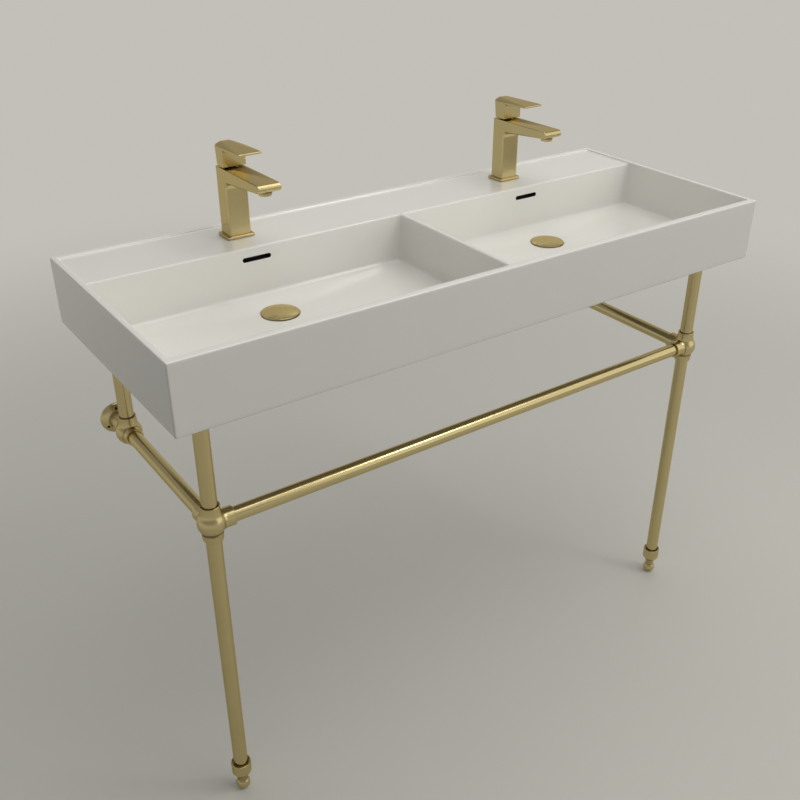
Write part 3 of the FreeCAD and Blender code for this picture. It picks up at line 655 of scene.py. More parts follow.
    @staticmethod
    def loose(bm: Shape, name: str) -> bpy.types.Object:
        """Gives a shape as an object of the scene.

        Args:
            bm: The shape, which is freed.
            name: The object's name.

        Returns:
            The object.
        """
        mesh = bpy.data.meshes.new(name)
        bm.to_mesh(mesh)
        bm.free()
        thing = bpy.data.objects.new(name, mesh)
        bpy.context.scene.collection.objects.link(thing)
        return thing

    @staticmethod
    def baked(thing: bpy.types.Object, *tools: bpy.types.Object) -> Shape:
        """Applies an object's modifiers and clears it away.

        Args:
            thing: The object.
            tools: Objects that its modifiers use.

        Returns:
            The finished shape.
        """
        graph = bpy.context.evaluated_depsgraph_get()
        mesh = bpy.data.meshes.new_from_object(thing.evaluated_get(graph))
        bm = bmesh.new()
        bm.from_mesh(mesh)
        bpy.data.meshes.remove(mesh)
        for spent in (thing, *tools):
            mesh = spent.data
            bpy.data.objects.remove(spent)
            bpy.data.meshes.remove(mesh)
        return bm

    @staticmethod
    def smoothed(cage: Shape, levels: int) -> Shape:
        """Rounds a cage by subdividing it.

        Args:
            cage: The cage, which is freed.
            levels: How often it is divided.

        Returns:
            The smooth shape.
        """
        thing = Bench.loose(cage, "cage")
        smooth = thing.modifiers.new("smooth", "SUBSURF")
        smooth.levels = smooth.render_levels = levels
        return Bench.baked(thing)

    @staticmethod
    def carved(bm: Shape, *cutters: Shape, bevel: float = 0.0) -> Shape:
        """Takes shapes out of a shape, after rounding its weighted edges.

        Args:
            bm: The shape.
            cutters: What is taken out, one after the other.
            bevel: The full width of the rounding in mm.

        Returns:
            What is left.
        """
        thing = Bench.loose(bm, "work")
        if bevel:
            rounding = thing.modifiers.new("rounding", "BEVEL")
            rounding.limit_method = "WEIGHT"
            rounding.width = bevel * MM
            rounding.segments = 5
        tools = [Bench.loose(cutter, "tool") for cutter in cutters]
        for tool in tools:
            cut = thing.modifiers.new("cut", "BOOLEAN")
            cut.operation = "DIFFERENCE"
            cut.solver = "MANIFOLD"
            cut.object = tool
        return Bench.baked(thing, *tools)

    def deliver(
        self,
        bm: Shape,
        name: str,
        body: str,
        nodes: Sequence[str],
        finishes: Sequence[Material],
        slot: Slot,
        seams: Sequence[SeamRing] = (),
    ) -> None:
        """Hands a finished shape to the frame.

        Args:
            bm: The shape, which is freed.
            name: The piece's name.
            body: The CAD body that it rides on.
            nodes: The CAD nodes that it stands for.
            finishes: Its materials.
            slot: The record's slot; not used.
            seams: Seams that mark it.
        """
        # The seam attribute darkens the brass near its seams: tarnish and painted shade
        if seams:
            mark = bm.verts.layers.float.new(SEAM)
            for vert in bm.verts:
                vert[mark] = max(seam.hold(vert.co) for seam in seams)
        for face in bm.faces:
            face.smooth = True
        for edge in bm.edges:
            edge.smooth = edge.calc_face_angle(0.0) < SHARP
        piece = self.loose(bm, name)
        even = piece.modifiers.new("even_normals", "WEIGHTED_NORMAL")
        even.keep_sharp = True
        for finish in finishes:
            piece.data.materials.append(finish)
        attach(piece, body)
        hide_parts(*nodes)
        LOG.info("%s rides on %s for %s", name, body, ", ".join(nodes))

    def metal(
        self,
        bm: Shape,
        name: str,
        node: str,
        seams: Sequence[SeamRing] = (),
        run: Run = Run.EVEN,
        body: str = "console",
    ) -> None:
        """Hands over a brass shape that stands for one node.

        Args:
            bm: The shape, which is freed.
            name: The piece's name.
            node: The CAD node.
            seams: Seams that mark it.
            run: Its grain.
            body: The CAD body that it rides on.
        """
        self.deliver(bm, name, body, [node], [self.rack.brass[run]], Slot.BRASS, seams)


@dataclass
class CeramicBasin(Bench):
    """The ceramic casting: its top is the higher of two profiles, one across and one from front to back."""

    # Distance from the middle and height in mm
    across: Profile = (
        *((0.0, 921.0), (3.3, 920.8), (5.5, 918.4), (6.7, 909.0), (9.7, 878.0), (12.7, 846.0), (14.2, 838.3)),
        *flat(836.0, 21.0, 50.0, 95.0, 145.0, 195.0, 232.0, 256.0, 272.0, 288.0, 303.25, 318.5, 334.5),
        *flat(836.0, 350.5, 374.5, 412.0, 462.0, 512.0, 554.0, 581.0),
        *((587.8, 838.3), (589.3, 846.0), (592.3, 878.0), (595.2, 910.0), (596.1, 920.4)),
        *flat(924.0, 596.5, 599.2, 602.3, 606.5),
    )
    # Distance from the front to the back and height in mm
    along: Profile = (
        *flat(924.0, -233.0, -228.8, -222.0, -219.0),
        *((-218.6, 920.4), (-217.7, 910.0), (-214.8, 878.0), (-211.8, 846.0), (-210.3, 838.3)),
        *flat(836.0, -203.5, -168.0, -125.0, -82.0, -48.0, -25.0, -9.0, 7.0, 22.0, 37.0, 53.0, 66.0, 80.5),
        *((87.3, 838.3), (88.8, 846.0), (91.8, 878.0), (94.6, 909.0), (95.4, 917.0)),
        *flat(921.0, 95.8, 100.0, 125.0, 165.0, 204.0, 217.5, 220.6),
        *flat(924.0, 221.3, 224.0, 230.0, 233.0),
    )
    top: float = 924.0
    deck: float = 921.0
    floor_height: float = 836.0
    bottom: float = 808.0
    edge: float = 4.0
    back_round: float = 10.0
    skirt: float = 10.2
    recess: float = 4.0
    smoothing: int = 2
    # The bowls' upright corners, whose radius goes from the first at the floor to the second at the deck
    bowl_middle: Point = (301.0, -61.5)
    bowl_half: Point = (287.4, 149.4)
    draft: float = 0.0931
    corner_rounds: Point = (14.0, 2.0)
    # The drains, with the floor's reach from them to the side, the front and the back
    drain: Triple = (303.25, 22.0, 825.0)
    seat_radius: float = 34.0
    hole_radius: float = 23.0
    seat_depth: float = 3.5
    floor_reach: Triple = (277.0, 222.0, 55.0)
    boss_low: float = 788.0
    boss_wall: float = 14.0
    cover: float = 8.0
    boss_round: float = 1.5
    duct_round: float = 2.0
    tunnel_half: float = 26.0
    tunnel_start: float = 30.0
    tunnel_stop: float = 110.0
    duct_half: float = 35.0
    duct_span: Point = (106.5, 126.0)
    duct_top: float = 908.0
    # What is cut away for the taps, the wall bolts, the overflows and behind the bowls
    clear: float = 4.0
    rise: float = 30.0
    tap_place: Triple = (303.25, 165.0, 900.0)
    tap_hole: float = 17.5
    bolt_place: Triple = (420.0, 214.0, 872.0)
    bolt_radius: float = 6.5
    bolt_depth: float = 26.0
    slot_half: float = 23.0
    slot_radius: float = 4.0
    slot_height: float = 901.0
    slot_span: Point = (84.0, 106.0)
    slot_mouth: float = 94.6
    slot_slack: Point = (0.5, 0.2)
    hollow_half: float = 488.5
    hollow_wide: float = 594.5
    hollow_low: float = 826.0
    hollow_high: float = 907.0
    hollow_open: float = 802.0
    hollow_span: Point = (108.0, 219.0)
    hollow_round: float = 4.0

    def height(self, x: float, y: float) -> float:
        """Gives the top's height over a crossing of two lines.

        Args:
            x: A line of the profile across, in mm.
            y: A line of the profile from front to back, in mm.

        Returns:
            The height in mm.
        """
        top = max(
            min(profile, key=lambda spot: abs(spot[0] - place))[1]
            for profile, place in ((self.across, abs(x)), (self.along, y))
        )
        return top if top > self.floor_height + SAME else self.fall(abs(x), y)

    def fall(self, x: float, y: float) -> float:
        """Gives the height of a bowl's floor, which falls to the drain.

        Args:
            x: Distance from the middle in mm.
            y: Distance from the front to the back in mm.

        Returns:
            The height in mm.
        """
        dx, dy = x - self.drain[0], y - self.drain[1]
        away = math.hypot(dx, dy)
        if away <= self.seat_radius:
            return self.drain[2]
        side, front, back = self.floor_reach
        shares = (abs(dx) / side, dy / back if dy > 0 else -dy / front)
        edge = away / max(shares)
        share = (away - self.seat_radius) / (edge - self.seat_radius)
        return self.drain[2] + (self.floor_height - self.drain[2]) * min(1.0, share)

    def cornered(self, spot: Vector) -> Vector:
        """Moves a point of the top so that a bowl's upright corners are rounded, more so near the floor.

        Args:
            spot: The point in mm.

        Returns:
            The point in its new place in mm.
        """
        depth = self.deck - self.floor_height
        climb = min(max(spot.z - self.floor_height, 0.0), depth)
        wide, tight = self.corner_rounds
        radius = wide + (tight - wide) * climb / depth
        way = (abs(spot.x) - self.bowl_middle[0], spot.y - self.bowl_middle[1])
        walls = [half + self.draft * climb for half in self.bowl_half]
        gaps = [wall - abs(step) for wall, step in zip(walls, way)]
        near, far = min(gaps), max(gaps)
        if near < -tight / 4 or far >= radius:
            return spot
        turn = math.radians(45) * (1 - (far - near) / (radius - near))
        rest = radius - near
        moved = {near: radius - rest * math.cos(turn), far: radius - rest * math.sin(turn)}
        x, y = (math.copysign(wall - moved[gap], step) for wall, gap, step in zip(walls, gaps, way))
        return Vector((math.copysign(self.bowl_middle[0] + x, spot.x), self.bowl_middle[1] + y, spot.z))

    def shell(self) -> Shape:
        """Makes the casting's cage: the top sheet, the outer walls and the recessed underside.

        Returns:
            The closed cage.
        """
        bm = bmesh.new()
        wide, deep = self.across[-1][0], self.along[-1][0]
        size = Matrix.Diagonal((wide * MM, deep * MM, 1.0, 1.0))
        bmesh.ops.create_grid(bm, x_segments=1, y_segments=1, size=1.0, matrix=size)
        self.sliced(bm, EAST, [sign * x for x, _ in self.across[:-1] for sign in (-1, 1)])
        self.sliced(bm, BACK, [y for y, _ in self.along[1:-1]])
        copied = bmesh.ops.duplicate(bm, geom=bm.verts[:] + bm.edges[:] + bm.faces[:])["geom"]
        under = {item for item in copied if isinstance(item, bmesh.types.BMVert)}
        rim = [edge for edge in bm.edges if edge.is_boundary and edge.verts[0] not in under]
        for vert in bm.verts:
            x, y = vert.co.x / MM, vert.co.y / MM
            raised = abs(x) < wide - self.skirt and abs(y) < deep - self.skirt
            if vert in under:
                vert.co.z = (self.bottom + (self.recess if raised else 0.0)) * MM
            else:
                vert.co = self.cornered(Vector((x, y, self.height(x, y)))) * MM
        foot = self.bottom + self.edge
        for level in (self.top - self.edge, (self.top + self.bottom) / 2, foot, self.bottom):
            grown = bmesh.ops.extrude_edge_only(bm, edges=rim)["geom"]
            rim = [item for item in grown if isinstance(item, bmesh.types.BMEdge)]
            for vert in {vert for edge in rim for vert in edge.verts}:
                back = vert.co.y > (deep - NEAR) * MM and level == foot
                vert.co.z = (self.bottom + self.back_round if back else level) * MM
        bmesh.ops.remove_doubles(bm, verts=bm.verts[:], dist=WELD)
        bmesh.ops.recalc_face_normals(bm, faces=bm.faces[:])
        return bm

    def hollow(self) -> Shape:
        """Makes what is taken out behind the bowls: a wide hollow over the shelves, open below between them.

        Returns:
            The cutter.
        """
        bm = bmesh.new()
        near, far = self.hollow_span
        half = (
            (self.hollow_half, self.hollow_open),
            (self.hollow_half, self.hollow_low),
            (self.hollow_wide, self.hollow_low),
            (self.hollow_wide, self.hollow_high),
        )
        outline = [*half, *((-x, z) for x, z in reversed(half))]
        verts = [bm.verts.new((x * MM, near * MM, z * MM)) for x, z in outline]
        self.drawn(bm, [bm.faces.new(verts)], BACK * (far - near))
        bmesh.ops.recalc_face_normals(bm, faces=bm.faces[:])
        self.ease(bm, self.hollow_round)
        return bm

    def openings(self) -> Shape:
        """Makes what is taken out for the drains, the taps, the overflows and the wall bolts.

        Returns:
            The cutters together.
        """
        shapes = []
        seat = self.drain[2]
        start = self.boss_low - self.clear - seat
        stepped = (
            (0.0, start),
            (self.hole_radius, start),
            (self.hole_radius, -self.seat_depth),
            (self.seat_radius, -self.seat_depth),
            (self.seat_radius, self.rise),
            (0.0, self.rise),
        )
        shaft = self.bar(self.tap_hole, 0.0, self.rise)
        bolt = self.bar(self.bolt_radius, 0.0, self.bolt_depth)
        for side in Side:
            drain, tap, start = (
                Vector((place[0] * side.value, *place[1:])) * MM
                for place in (self.drain, self.tap_place, self.bolt_place)
            )
            shapes.append(self.turned(stepped, drain, steps=96))
            shapes.append(self.turned(shaft, tap))
            shapes.append(self.turned(bolt, start, BACK, steps=32))
            shapes.append(self.overflow(self.drain[0] * side.value))
        return self.joined(*shapes)

    def overflow(self, x: float) -> Shape:
        """Makes the long round-ended slot of one overflow.

        Args:
            x: Its middle in mm.

        Returns:
            The cutter.
        """
        wide, high = self.slot_half + self.slot_radius, self.slot_radius
        near, far = self.slot_span
        first = Vector((x - wide, near, self.slot_height - high)) * MM
        last = Vector((x + wide, far, self.slot_height + high)) * MM
        bm = self.brick(first, last)
        ends = [edge for edge in bm.edges if abs(edge.verts[0].co.y - edge.verts[1].co.y) > NEAR * MM]
        self.soften(bm, ends, self.slot_radius - SAME, segments=8)
        return bm

    def underside(self) -> Shape:
        """Makes the bosses, ducts and tunnels that the floor carries below.

        Returns:
            The closed shapes together.
        """
        shapes = []
        x, y, seat = self.drain
        inner, outer = self.hole_radius, self.hole_radius + self.boss_wall
        low, high = self.boss_low, seat - self.cover
        boss = ((inner, 0.0), (outer, 0.0), (outer, high - low), (inner, high - low))
        tunnel = (self.tunnel_half, (y + self.tunnel_start, self.tunnel_stop), high)
        duct = (self.duct_half, self.duct_span, self.duct_top)
        for side in Side:
            place = x * side.value
            ring = self.turned(boss, Vector((place, y, low)) * MM, closed=True)
            self.ease(ring, self.boss_round)
            shapes.append(ring)
            for half, (near, far), top in (tunnel, duct):
                first = Vector((place - half, near, low)) * MM
                block = self.brick(first, Vector((place + half, far, top)) * MM)
                self.ease(block, self.duct_round)
                shapes.append(block)
        return self.joined(*shapes)

    def build(self) -> None:
        """Builds the casting, carves it and hands it over."""
        solid = self.smoothed(self.shell(), self.smoothing)
        whole = self.joined(self.carved(solid, self.hollow(), self.openings()), self.underside())
        # Faces inside the overflow slots take the near-black duct finish: painted shade in the slots
        beside, behind = self.slot_slack
        high = self.slot_radius + beside
        for face in whole.faces:
            spot = face.calc_center_median() / MM
            deep = self.slot_mouth < spot.y < self.slot_span[1] + behind
            away = abs(abs(spot.x) - self.drain[0])
            if deep and away < self.slot_half + high and abs(spot.z - self.slot_height) < high:
                face.material_index = 1
        finishes = [self.rack.ceramic, self.rack.duct]
        self.deliver(whole, "basin_casting", "console", ["basin"], finishes, Slot.CERAMIC)


@dataclass
class TubeStand(Bench):
    """The brass stand: tubes, ball fittings, ferrules, wall flanges and feet."""

    tube_radius: float = 12.7
    tube_wall: float = 1.5
    tube_inset: float = 14.0
    tube_chamfer: Point = (0.5, 0.6)
    tube_rings: tuple[float, ...] = (-4.0, -1.5, 0.0, 1.5, 4.0)
    tube_mark: float = 2.0
    pad_seam: float = 1.0
    rail_mark: float = 1.6
    bore: float = 12.8
    mouth: float = 13.65
    ball_radius: float = 23.0
    collar_reach: float = 33.0
    rail_reach: float = 36.0
    rear_reach: float = 27.0
    wall_reach: float = 45.4
    neck_reach: float = 17.0
    ferrule_length: float = 13.5
    ferrule_gap: float = 0.6
    hub_reach: float = 18.0
    screw_circle: float = 21.5
    screw_radius: float = 2.6
    screw_span: Point = (-2.0, 16.0)
    screw_turns: Triple = (90.0, 210.0, 330.0)
    screw_lean: float = 0.1
    cup_rim: float = 37.5
    cup_floor: float = 18.0
    thread_radius: float = 5.0
    thread_bore: float = 5.05

    def tube(self, node: str, axis: Vector, run: Run, mouths: Sequence[float], mark: float) -> None:
        """Builds one tube of the stand.

        Args:
            node: Its CAD node.
            axis: Its direction.
            run: Its grain.
            mouths: Distances from its start at which a collar's mouth or a rim meets it, in mm.
            mark: How far tarnish and painted shade spread from those mouths in mm.
        """
        length = self.length(node, axis)
        start = self.middle(node) - axis * (length / 2 * MM)
        radius = self.tube_radius
        inner = radius - self.tube_wall
        inset, ease = self.tube_chamfer
        stops = sorted({ease, length - ease, *(m + ring for m in mouths for ring in self.tube_rings)})
        outline = [(inner, 0.0), (radius - inset, 0.0)]
        outline += [(radius, stop) for stop in stops]
        outline += [(radius - inset, length), (inner, length)]
        shape = self.turned(outline, start, axis, closed=True, steps=48)
        # Tarnish and painted shade darken the tube where collars and rims meet it
        seams = SeamRing.rings(start, axis, *((m, radius, mark) for m in mouths))
        self.metal(shape, f"{node}_tube", node, seams, run)

    def collar(self, centre: Vector, axis: Vector, reach: float) -> Shape:
        """Makes one rail collar that grows out of a ball.

        Args:
            centre: The ball's middle.
            axis: The collar's direction.
            reach: How far it reaches from the ball's middle in mm.

        Returns:
            The collar.
        """
        outline = [(self.bore, 8.0), (18.6, 9.5), (18.6, 12.6), (17.6, 15.4), (16.9, 17.6), (16.45, 20.0)]
        outline += [(16.3, 22.5), (16.3, reach - 0.6), (15.8, reach), (13.1, reach), (self.bore, reach - 0.3)]
        return self.turned(outline, centre, axis, closed=True)

    def pear(self, lower: bool) -> list[Point]:
        """Gives the outline of a ball whose top flares into a collar.

        Args:
            lower: Whether it has a neck for a leg below.

        Returns:
            The outline, from the bottom up the outside to the mouth and down the bore.
        """
        reach, foot = self.collar_reach, -self.neck_reach
        outline: list[Point] = []
        if lower:
            outline += [(self.bore, foot), (16.2, foot), (16.6, foot + 0.4), (16.7, -16.1), (17.0, -15.6)]
            outline += self.arc((0, 0), self.ball_radius, start=-41, stop=38, steps=18)
        else:
            outline += self.arc((0, 0), self.ball_radius, start=-90, stop=38, steps=26)
        outline += [(17.1, 16.4), (16.55, 19.0), (16.15, 22.0), (15.9, 25.5), (15.8, 29.0)]
        outline += [(15.8, reach - 0.7), (15.3, reach), (13.1, reach - 0.2), (self.bore, reach - 0.3)]
        if not lower:
            outline += [(self.bore, 10.0), (0.0, 10.0)]
        return outline

    def fittings(self, side: Side) -> None:
        """Builds the two ball fittings of one end.

        Args:
            side: The end.
        """
        word = side.word
        inward = Vector((-side.value, 0, 0))
        plans = (
            ("front", "front_leg_upper", True, ((inward, self.rail_reach), (BACK, self.rail_reach))),
            ("rear", "rear_post", False, ((-BACK, self.rear_reach), (BACK, self.wall_reach))),
        )
        for place, upright, lower, collars in plans:
            centre = self.middle(f"{word}_{upright}")
            centre.z = self.middle("front_rail").z
            shapes = [self.turned(self.pear(lower), centre, closed=lower)]
            shapes += [self.collar(centre, axis, reach) for axis, reach in collars]
            # Tarnish and painted shade darken the collar mouths, the collar roots and the neck
            seams = SeamRing.rings(centre, UP, (self.collar_reach, self.mouth, 2.2))
            for axis, _ in collars:
                seams += SeamRing.rings(centre, axis, (15.4, 17.4, 1.6))
            if lower:
                seams += SeamRing.rings(centre, UP, (-self.neck_reach, 16.6, 1.6))
            node = f"{word}_{place}_ball"
            self.metal(self.joined(*shapes), f"{node}_fitting", node, seams)

    def ferrule(self, side: Side) -> None:
        """Builds the ferrule under a front ball.

        Args:
            side: The end.
        """
        node = f"{side.word}_leg_ferrule"
        top = self.middle(node)
        top.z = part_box(node)[1].z
        foot = -self.ferrule_length
        outline = [(self.bore, 0.5), (16.2, 0.5), (16.35, 0.0), (16.8, 0.0), (17.2, -0.4), (17.3, -1.2)]
        outline += [(17.2, -4.0), (16.6, -9.5), (16.2, foot + 1.0), (15.6, foot), (13.9, foot)]
        outline += [(13.5, foot + 0.4), (13.4, foot + 2.5), (self.bore, foot + 2.5)]
        shape = self.turned(outline, top, closed=True)
        # Tarnish and painted shade darken the ferrule's top and foot
        seams = SeamRing.rings(top, UP, (0.0, 17.0, 1.8), (foot, 13.6, 1.8))
        self.metal(shape, f"{node}_ring", node, seams)

    def flange(self, side: Side) -> None:
        """Builds a wall flange with its three open screw holes.

        Args:
            side: The end.
        """
        node = f"{side.word}_wall_flange"
        centre = self.middle(node)
        centre.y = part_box(node)[1].y
        out, hub = -BACK, self.hub_reach
        outline = [*flat(0.0, 0.0, 9.0, 17.0, 27.4, 28.4), (29.0, 0.6), (29.0, 3.0), (28.5, 4.8), (27.0, 6.8)]
        outline += [(24.6, 8.6), (21.6, 10.2), (18.9, 11.4), (17.2, 12.3), (16.4, 13.3), (16.3, 14.4)]
        outline += [(16.3, hub - 0.7), (15.6, hub), (self.mouth, hub), (self.bore, hub - 0.8)]
        outline += [(self.bore, 6.0), (0.0, 6.0)]
        drill = self.bar(self.screw_radius, *self.screw_span)
        angles = [math.radians(turn) for turn in self.screw_turns]
        spots = [Vector((math.cos(a), 0, math.sin(a))) * (self.screw_circle * MM) for a in angles]
        holes = [self.turned(drill, centre + spot, out, steps=32) for spot in spots]
        shape = self.carved(self.turned(outline, centre, out, steps=96), self.joined(*holes))
        # The screw holes' walls take the near-black duct finish: painted shade inside the holes
        for face in shape.faces:
            away = face.calc_center_median() - centre
            away.y = 0.0
            wall = min((away - spot).length for spot in spots) < self.screw_radius * MM
            if wall and abs(face.normal.y) < self.screw_lean:
                face.material_index = 1
        # Tarnish and painted shade darken the flange's foot, its hub and the mouths of the screw holes
        seams = SeamRing.rings(centre, out, (0.0, 28.6, 1.6), (12.8, 16.6, 2.6), (hub, 16.2, 1.5))
        for spot in spots:
            seams += SeamRing.rings(centre + spot, out, (9.5, self.screw_radius, 1.5))
        finishes = [self.rack.brass[Run.EVEN], self.rack.duct]
        self.deliver(shape, f"{node}_dome", "console", [node], finishes, Slot.BRASS, seams)

    def foot(self, side: Side) -> None:
        """Builds a foot's cup and the ball foot that screws into it.

        Args:
            side: The end.
        """
        node = f"{side.word}_foot_cup"
        base, rim = self.under(node), self.cup_rim
        outline = [(self.thread_bore, 0.0), (9.6, 0.0), (10.1, 0.5), (10.3, 1.8), (11.0, 4.4), (12.5, 7.4)]
        outline += [(14.6, 10.4), (16.8, 13.0), (17.55, 14.4), (17.8, 16.0), (17.8, rim - 1.0)]
        outline += [(17.5, rim - 0.3), (16.9, rim), (16.2, rim), (15.7, rim - 0.3), (15.6, rim - 0.9)]
        outline += [(15.5, rim - 3.6), (self.bore, rim - 4.0)]
        outline += [(self.bore, self.cup_floor), (self.thread_bore, self.cup_floor)]
        # Tarnish and painted shade darken the cup's foot and the inside of its mouth
        seams = SeamRing.rings(base, UP, (0.0, 10.0, 2.2), (rim - 4.0, 14.0, 4.5))
        self.metal(self.turned(outline, base, closed=True), f"{node}_shell", node, seams)

        node = f"{side.word}_foot_ball"
        ground = Vector((base.x, base.y, 0.0))
        outline = [(0.0, 0.0), (2.9, 0.0), *self.arc((0, 12.2), 12.7, start=-72, stop=44, steps=18)]
        outline += [(8.75, 21.9), (8.5, 23.2), (8.5, 25.6), (8.8, 27.2), (9.3, 28.2), (9.3, 29.3)]
        outline += [(self.thread_radius, 29.4), (self.thread_radius, 44.3), (0.0, 44.5)]
        # Tarnish and painted shade darken the ball foot's shoulder and neck
        seams = SeamRing.rings(ground, UP, (29.4, 9.0, 2.0), (22.2, 8.7, 2.0))
        self.metal(self.turned(outline, ground), f"{node}_glide", node, seams, body=f"{side.word}_leveller")

    def build(self) -> None:
        """Builds the whole stand."""
        rail, rear = self.rail_reach - self.tube_inset, self.rear_reach - self.tube_inset
        below = self.neck_reach + self.ferrule_gap + self.ferrule_length - self.tube_inset
        span = self.length("front_rail", EAST)
        self.tube("front_rail", EAST, Run.X, (rail, span - rail), self.rail_mark)
        for side in Side:
            names = ("side_rail", "front_leg_upper", "rear_post", "front_leg_lower")
            across, upper, post, lower = (f"{side.word}_{name}" for name in names)
            self.tube(across, BACK, Run.Y, (rail, self.length(across, BACK) - rear), self.rail_mark)
            mouths = (self.collar_reach - self.tube_inset, self.length(upper, UP) - self.pad_seam)
            for node in (upper, post):
                self.tube(node, UP, Run.Z, mouths, self.tube_mark)
            mouths = (self.cup_rim - self.cup_floor, self.length(lower, UP) - below)
            self.tube(lower, UP, Run.Z, mouths, self.tube_mark)
            for piece in (self.fittings, self.ferrule, self.flange, self.foot):
                piece(side)


@dataclass
class PillarTap(Bench):
    """One single-lever tap: casting, lever, base plate and aerator ring."""

    side: Side
    gasket: float = 1.0
    half_width: float = 21.0
    half_depth: float = 16.0
    foot: float = 5.0
    column: float = 121.0
    reach: float = 137.0
    tip_high: float = 122.5
    tip_low: float = 109.9
    root: float = 98.0
    root_round: float = 12.0
    tip_round: float = 6.0
    tip_length: float = 8.0
    # How far the casting's side edges are rounded: the column's front and back, the spout and its top
    soft: float = 4.5
    back_soft: float = 4.0
    spout_soft: float = 1.2
    top_soft: float = 0.7
    # How far the front's rounding fades into the spout's, and how near an edge counts as on a face
    soft_fade: float = 15.0
    slack: float = 0.1
    top_slack: float = 0.5
    nut_radius: float = 13.95
    nut_span: Point = (114.0, 130.0)
    lever_top: float = 161.0
    lever_reach: float = 76.5
    lever_root: float = 152.5
    lever_tip: Point = (159.0, 155.6)
    lever_arch: float = 5.0
    lever_taper: float = 0.9
    lever_lean: float = 6.0
    lever_smoothing: int = 3
    # Cuts of the lever's side sheet in mm, from the tip to the back and from its foot up
    lever_stations: tuple[float, ...] = (-74.0, -64.0, -42.0, -27.0, -21.5, -16.0, -13.5, -4.0, 4.0)
    lever_lines: tuple[float, ...] = (123.8, 124.8, 137.0, 147.0, 152.5, 153.4, 157.0, 161.0)
    # How soft the lever is at its tip and at its back: its shoulder, its crown, and the block below the blade
    blade_edge: float = 0.6
    shoulder: Point = (2.0, 9.5)
    crown: Point = (1.2, 14.0)
    block: Point = (1.6, 12.0)
    block_bend: float = 1.5
    cavity: Triple = (16.5, 12.5, 138.0)
    cavity_low: float = 120.8
    screw_height: float = 143.0
    screw_radius: float = 2.55
    screw_span: Point = (8.0, 20.0)
    plate_corner: float = 3.0
    plate_rim: float = 1.2
    plate_hole: float = 14.5
    plate_cut: float = 6.0

    @property
    def origin(self) -> Vector:
        """The column's axis at deck height."""
        low = self.under(f"{self.side.word}_tap_base_plate")
        return Vector((low.x, low.y, low.z - self.gasket * MM))

    def slab(self, outline: Sequence[Point], rounds: dict[int, float]) -> Shape:
        """Makes a shape of the tap's width from its outline seen from the side.

        Args:
            outline: Points as distance towards the wall and height, in mm.
            rounds: Radius in mm for the outline's corners, by number.

        Returns:
            The shape about the column's axis at deck height.
        """
        bm = bmesh.new()
        verts = [bm.verts.new((-self.half_width * MM, y * MM, z * MM)) for y, z in outline]
        bm.faces.new(verts)
        for corner, radius in rounds.items():
            bmesh.ops.bevel(
                bm,
                geom=[verts[corner]],
                offset=radius * MM,
                offset_type="OFFSET",
                affect="VERTICES",
                segments=8,
                profile=0.5,
                material=-1,
            )
        self.drawn(bm, bm.faces[:], EAST * (2 * self.half_width))
        bmesh.ops.recalc_face_normals(bm, faces=bm.faces[:])
        return bm

    def weigh(self, bm: Shape, radius_at: Callable[[Vector], float]) -> None:
        """Sets how far each side edge is rounded.

        Args:
            bm: The shape.
            radius_at: Gives the radius in mm for an edge's middle in mm.
        """
        weight = bm.edges.layers.float.new("bevel_weight_edge")
        for edge in bm.edges:
            first, second = (vert.co / MM for vert in edge.verts)
            if abs(first.x - second.x) < SAME:
                edge[weight] = radius_at((first + second) / 2) / self.soft

    def casting_round(self, spot: Vector) -> float:
        """Gives the rounding of the casting's side edges.

        Args:
            spot: An edge's middle about the column's axis, in mm.

        Returns:
            The radius in mm.
        """
        past = -self.half_depth - spot.y
        if spot.z < self.foot + self.slack:
            return 0.0
        if spot.y > self.half_depth - self.slack:
            return self.back_soft
        if spot.z > self.column - self.top_slack:
            return self.top_soft if spot.y > self.tip_length - self.reach else self.spout_soft
        if past < self.slack:
            return self.soft
        share = min(past / self.soft_fade, 1.0)
        return self.soft + (self.spout_soft - self.soft) * share

    def lever_soft(self, y: float, least: float, most: float) -> float:
        """Gives how far the lever's rounding reaches, from crisp at the tip to soft at the back.

        Args:
            y: Distance towards the wall in mm.
            least: The reach at the tip in mm.
            most: The reach at the back in mm.

        Returns:
            The reach in mm.
        """
        share = (y + self.lever_reach) / (self.half_depth + self.lever_reach)
        return least + (most - least) * share

    def lever_line(self, y: float, z: float) -> float:
        """Gives the height to which a line of the lever's side sheet is drawn.

        Args:
            y: Distance towards the wall in mm.
            z: The line's height in the flat sheet in mm.

        Returns:
            The height in mm.
        """
        out = (y - self.half_depth) / (self.half_depth + self.lever_reach)
        top = self.lever_top + out * (self.lever_top - self.lever_tip[0])
        past = max(0.0, -self.half_depth - y) / (self.lever_reach - self.half_depth)
        under = self.lever_root + past * (self.lever_tip[1] - self.lever_root)
        heights = (under, under + self.blade_edge, top - self.lever_soft(y, *self.shoulder), top)
        lines = zip(self.lever_lines[-len(heights) :], heights)
        return next((height for line, height in lines if abs(line - z) < SAME), z)

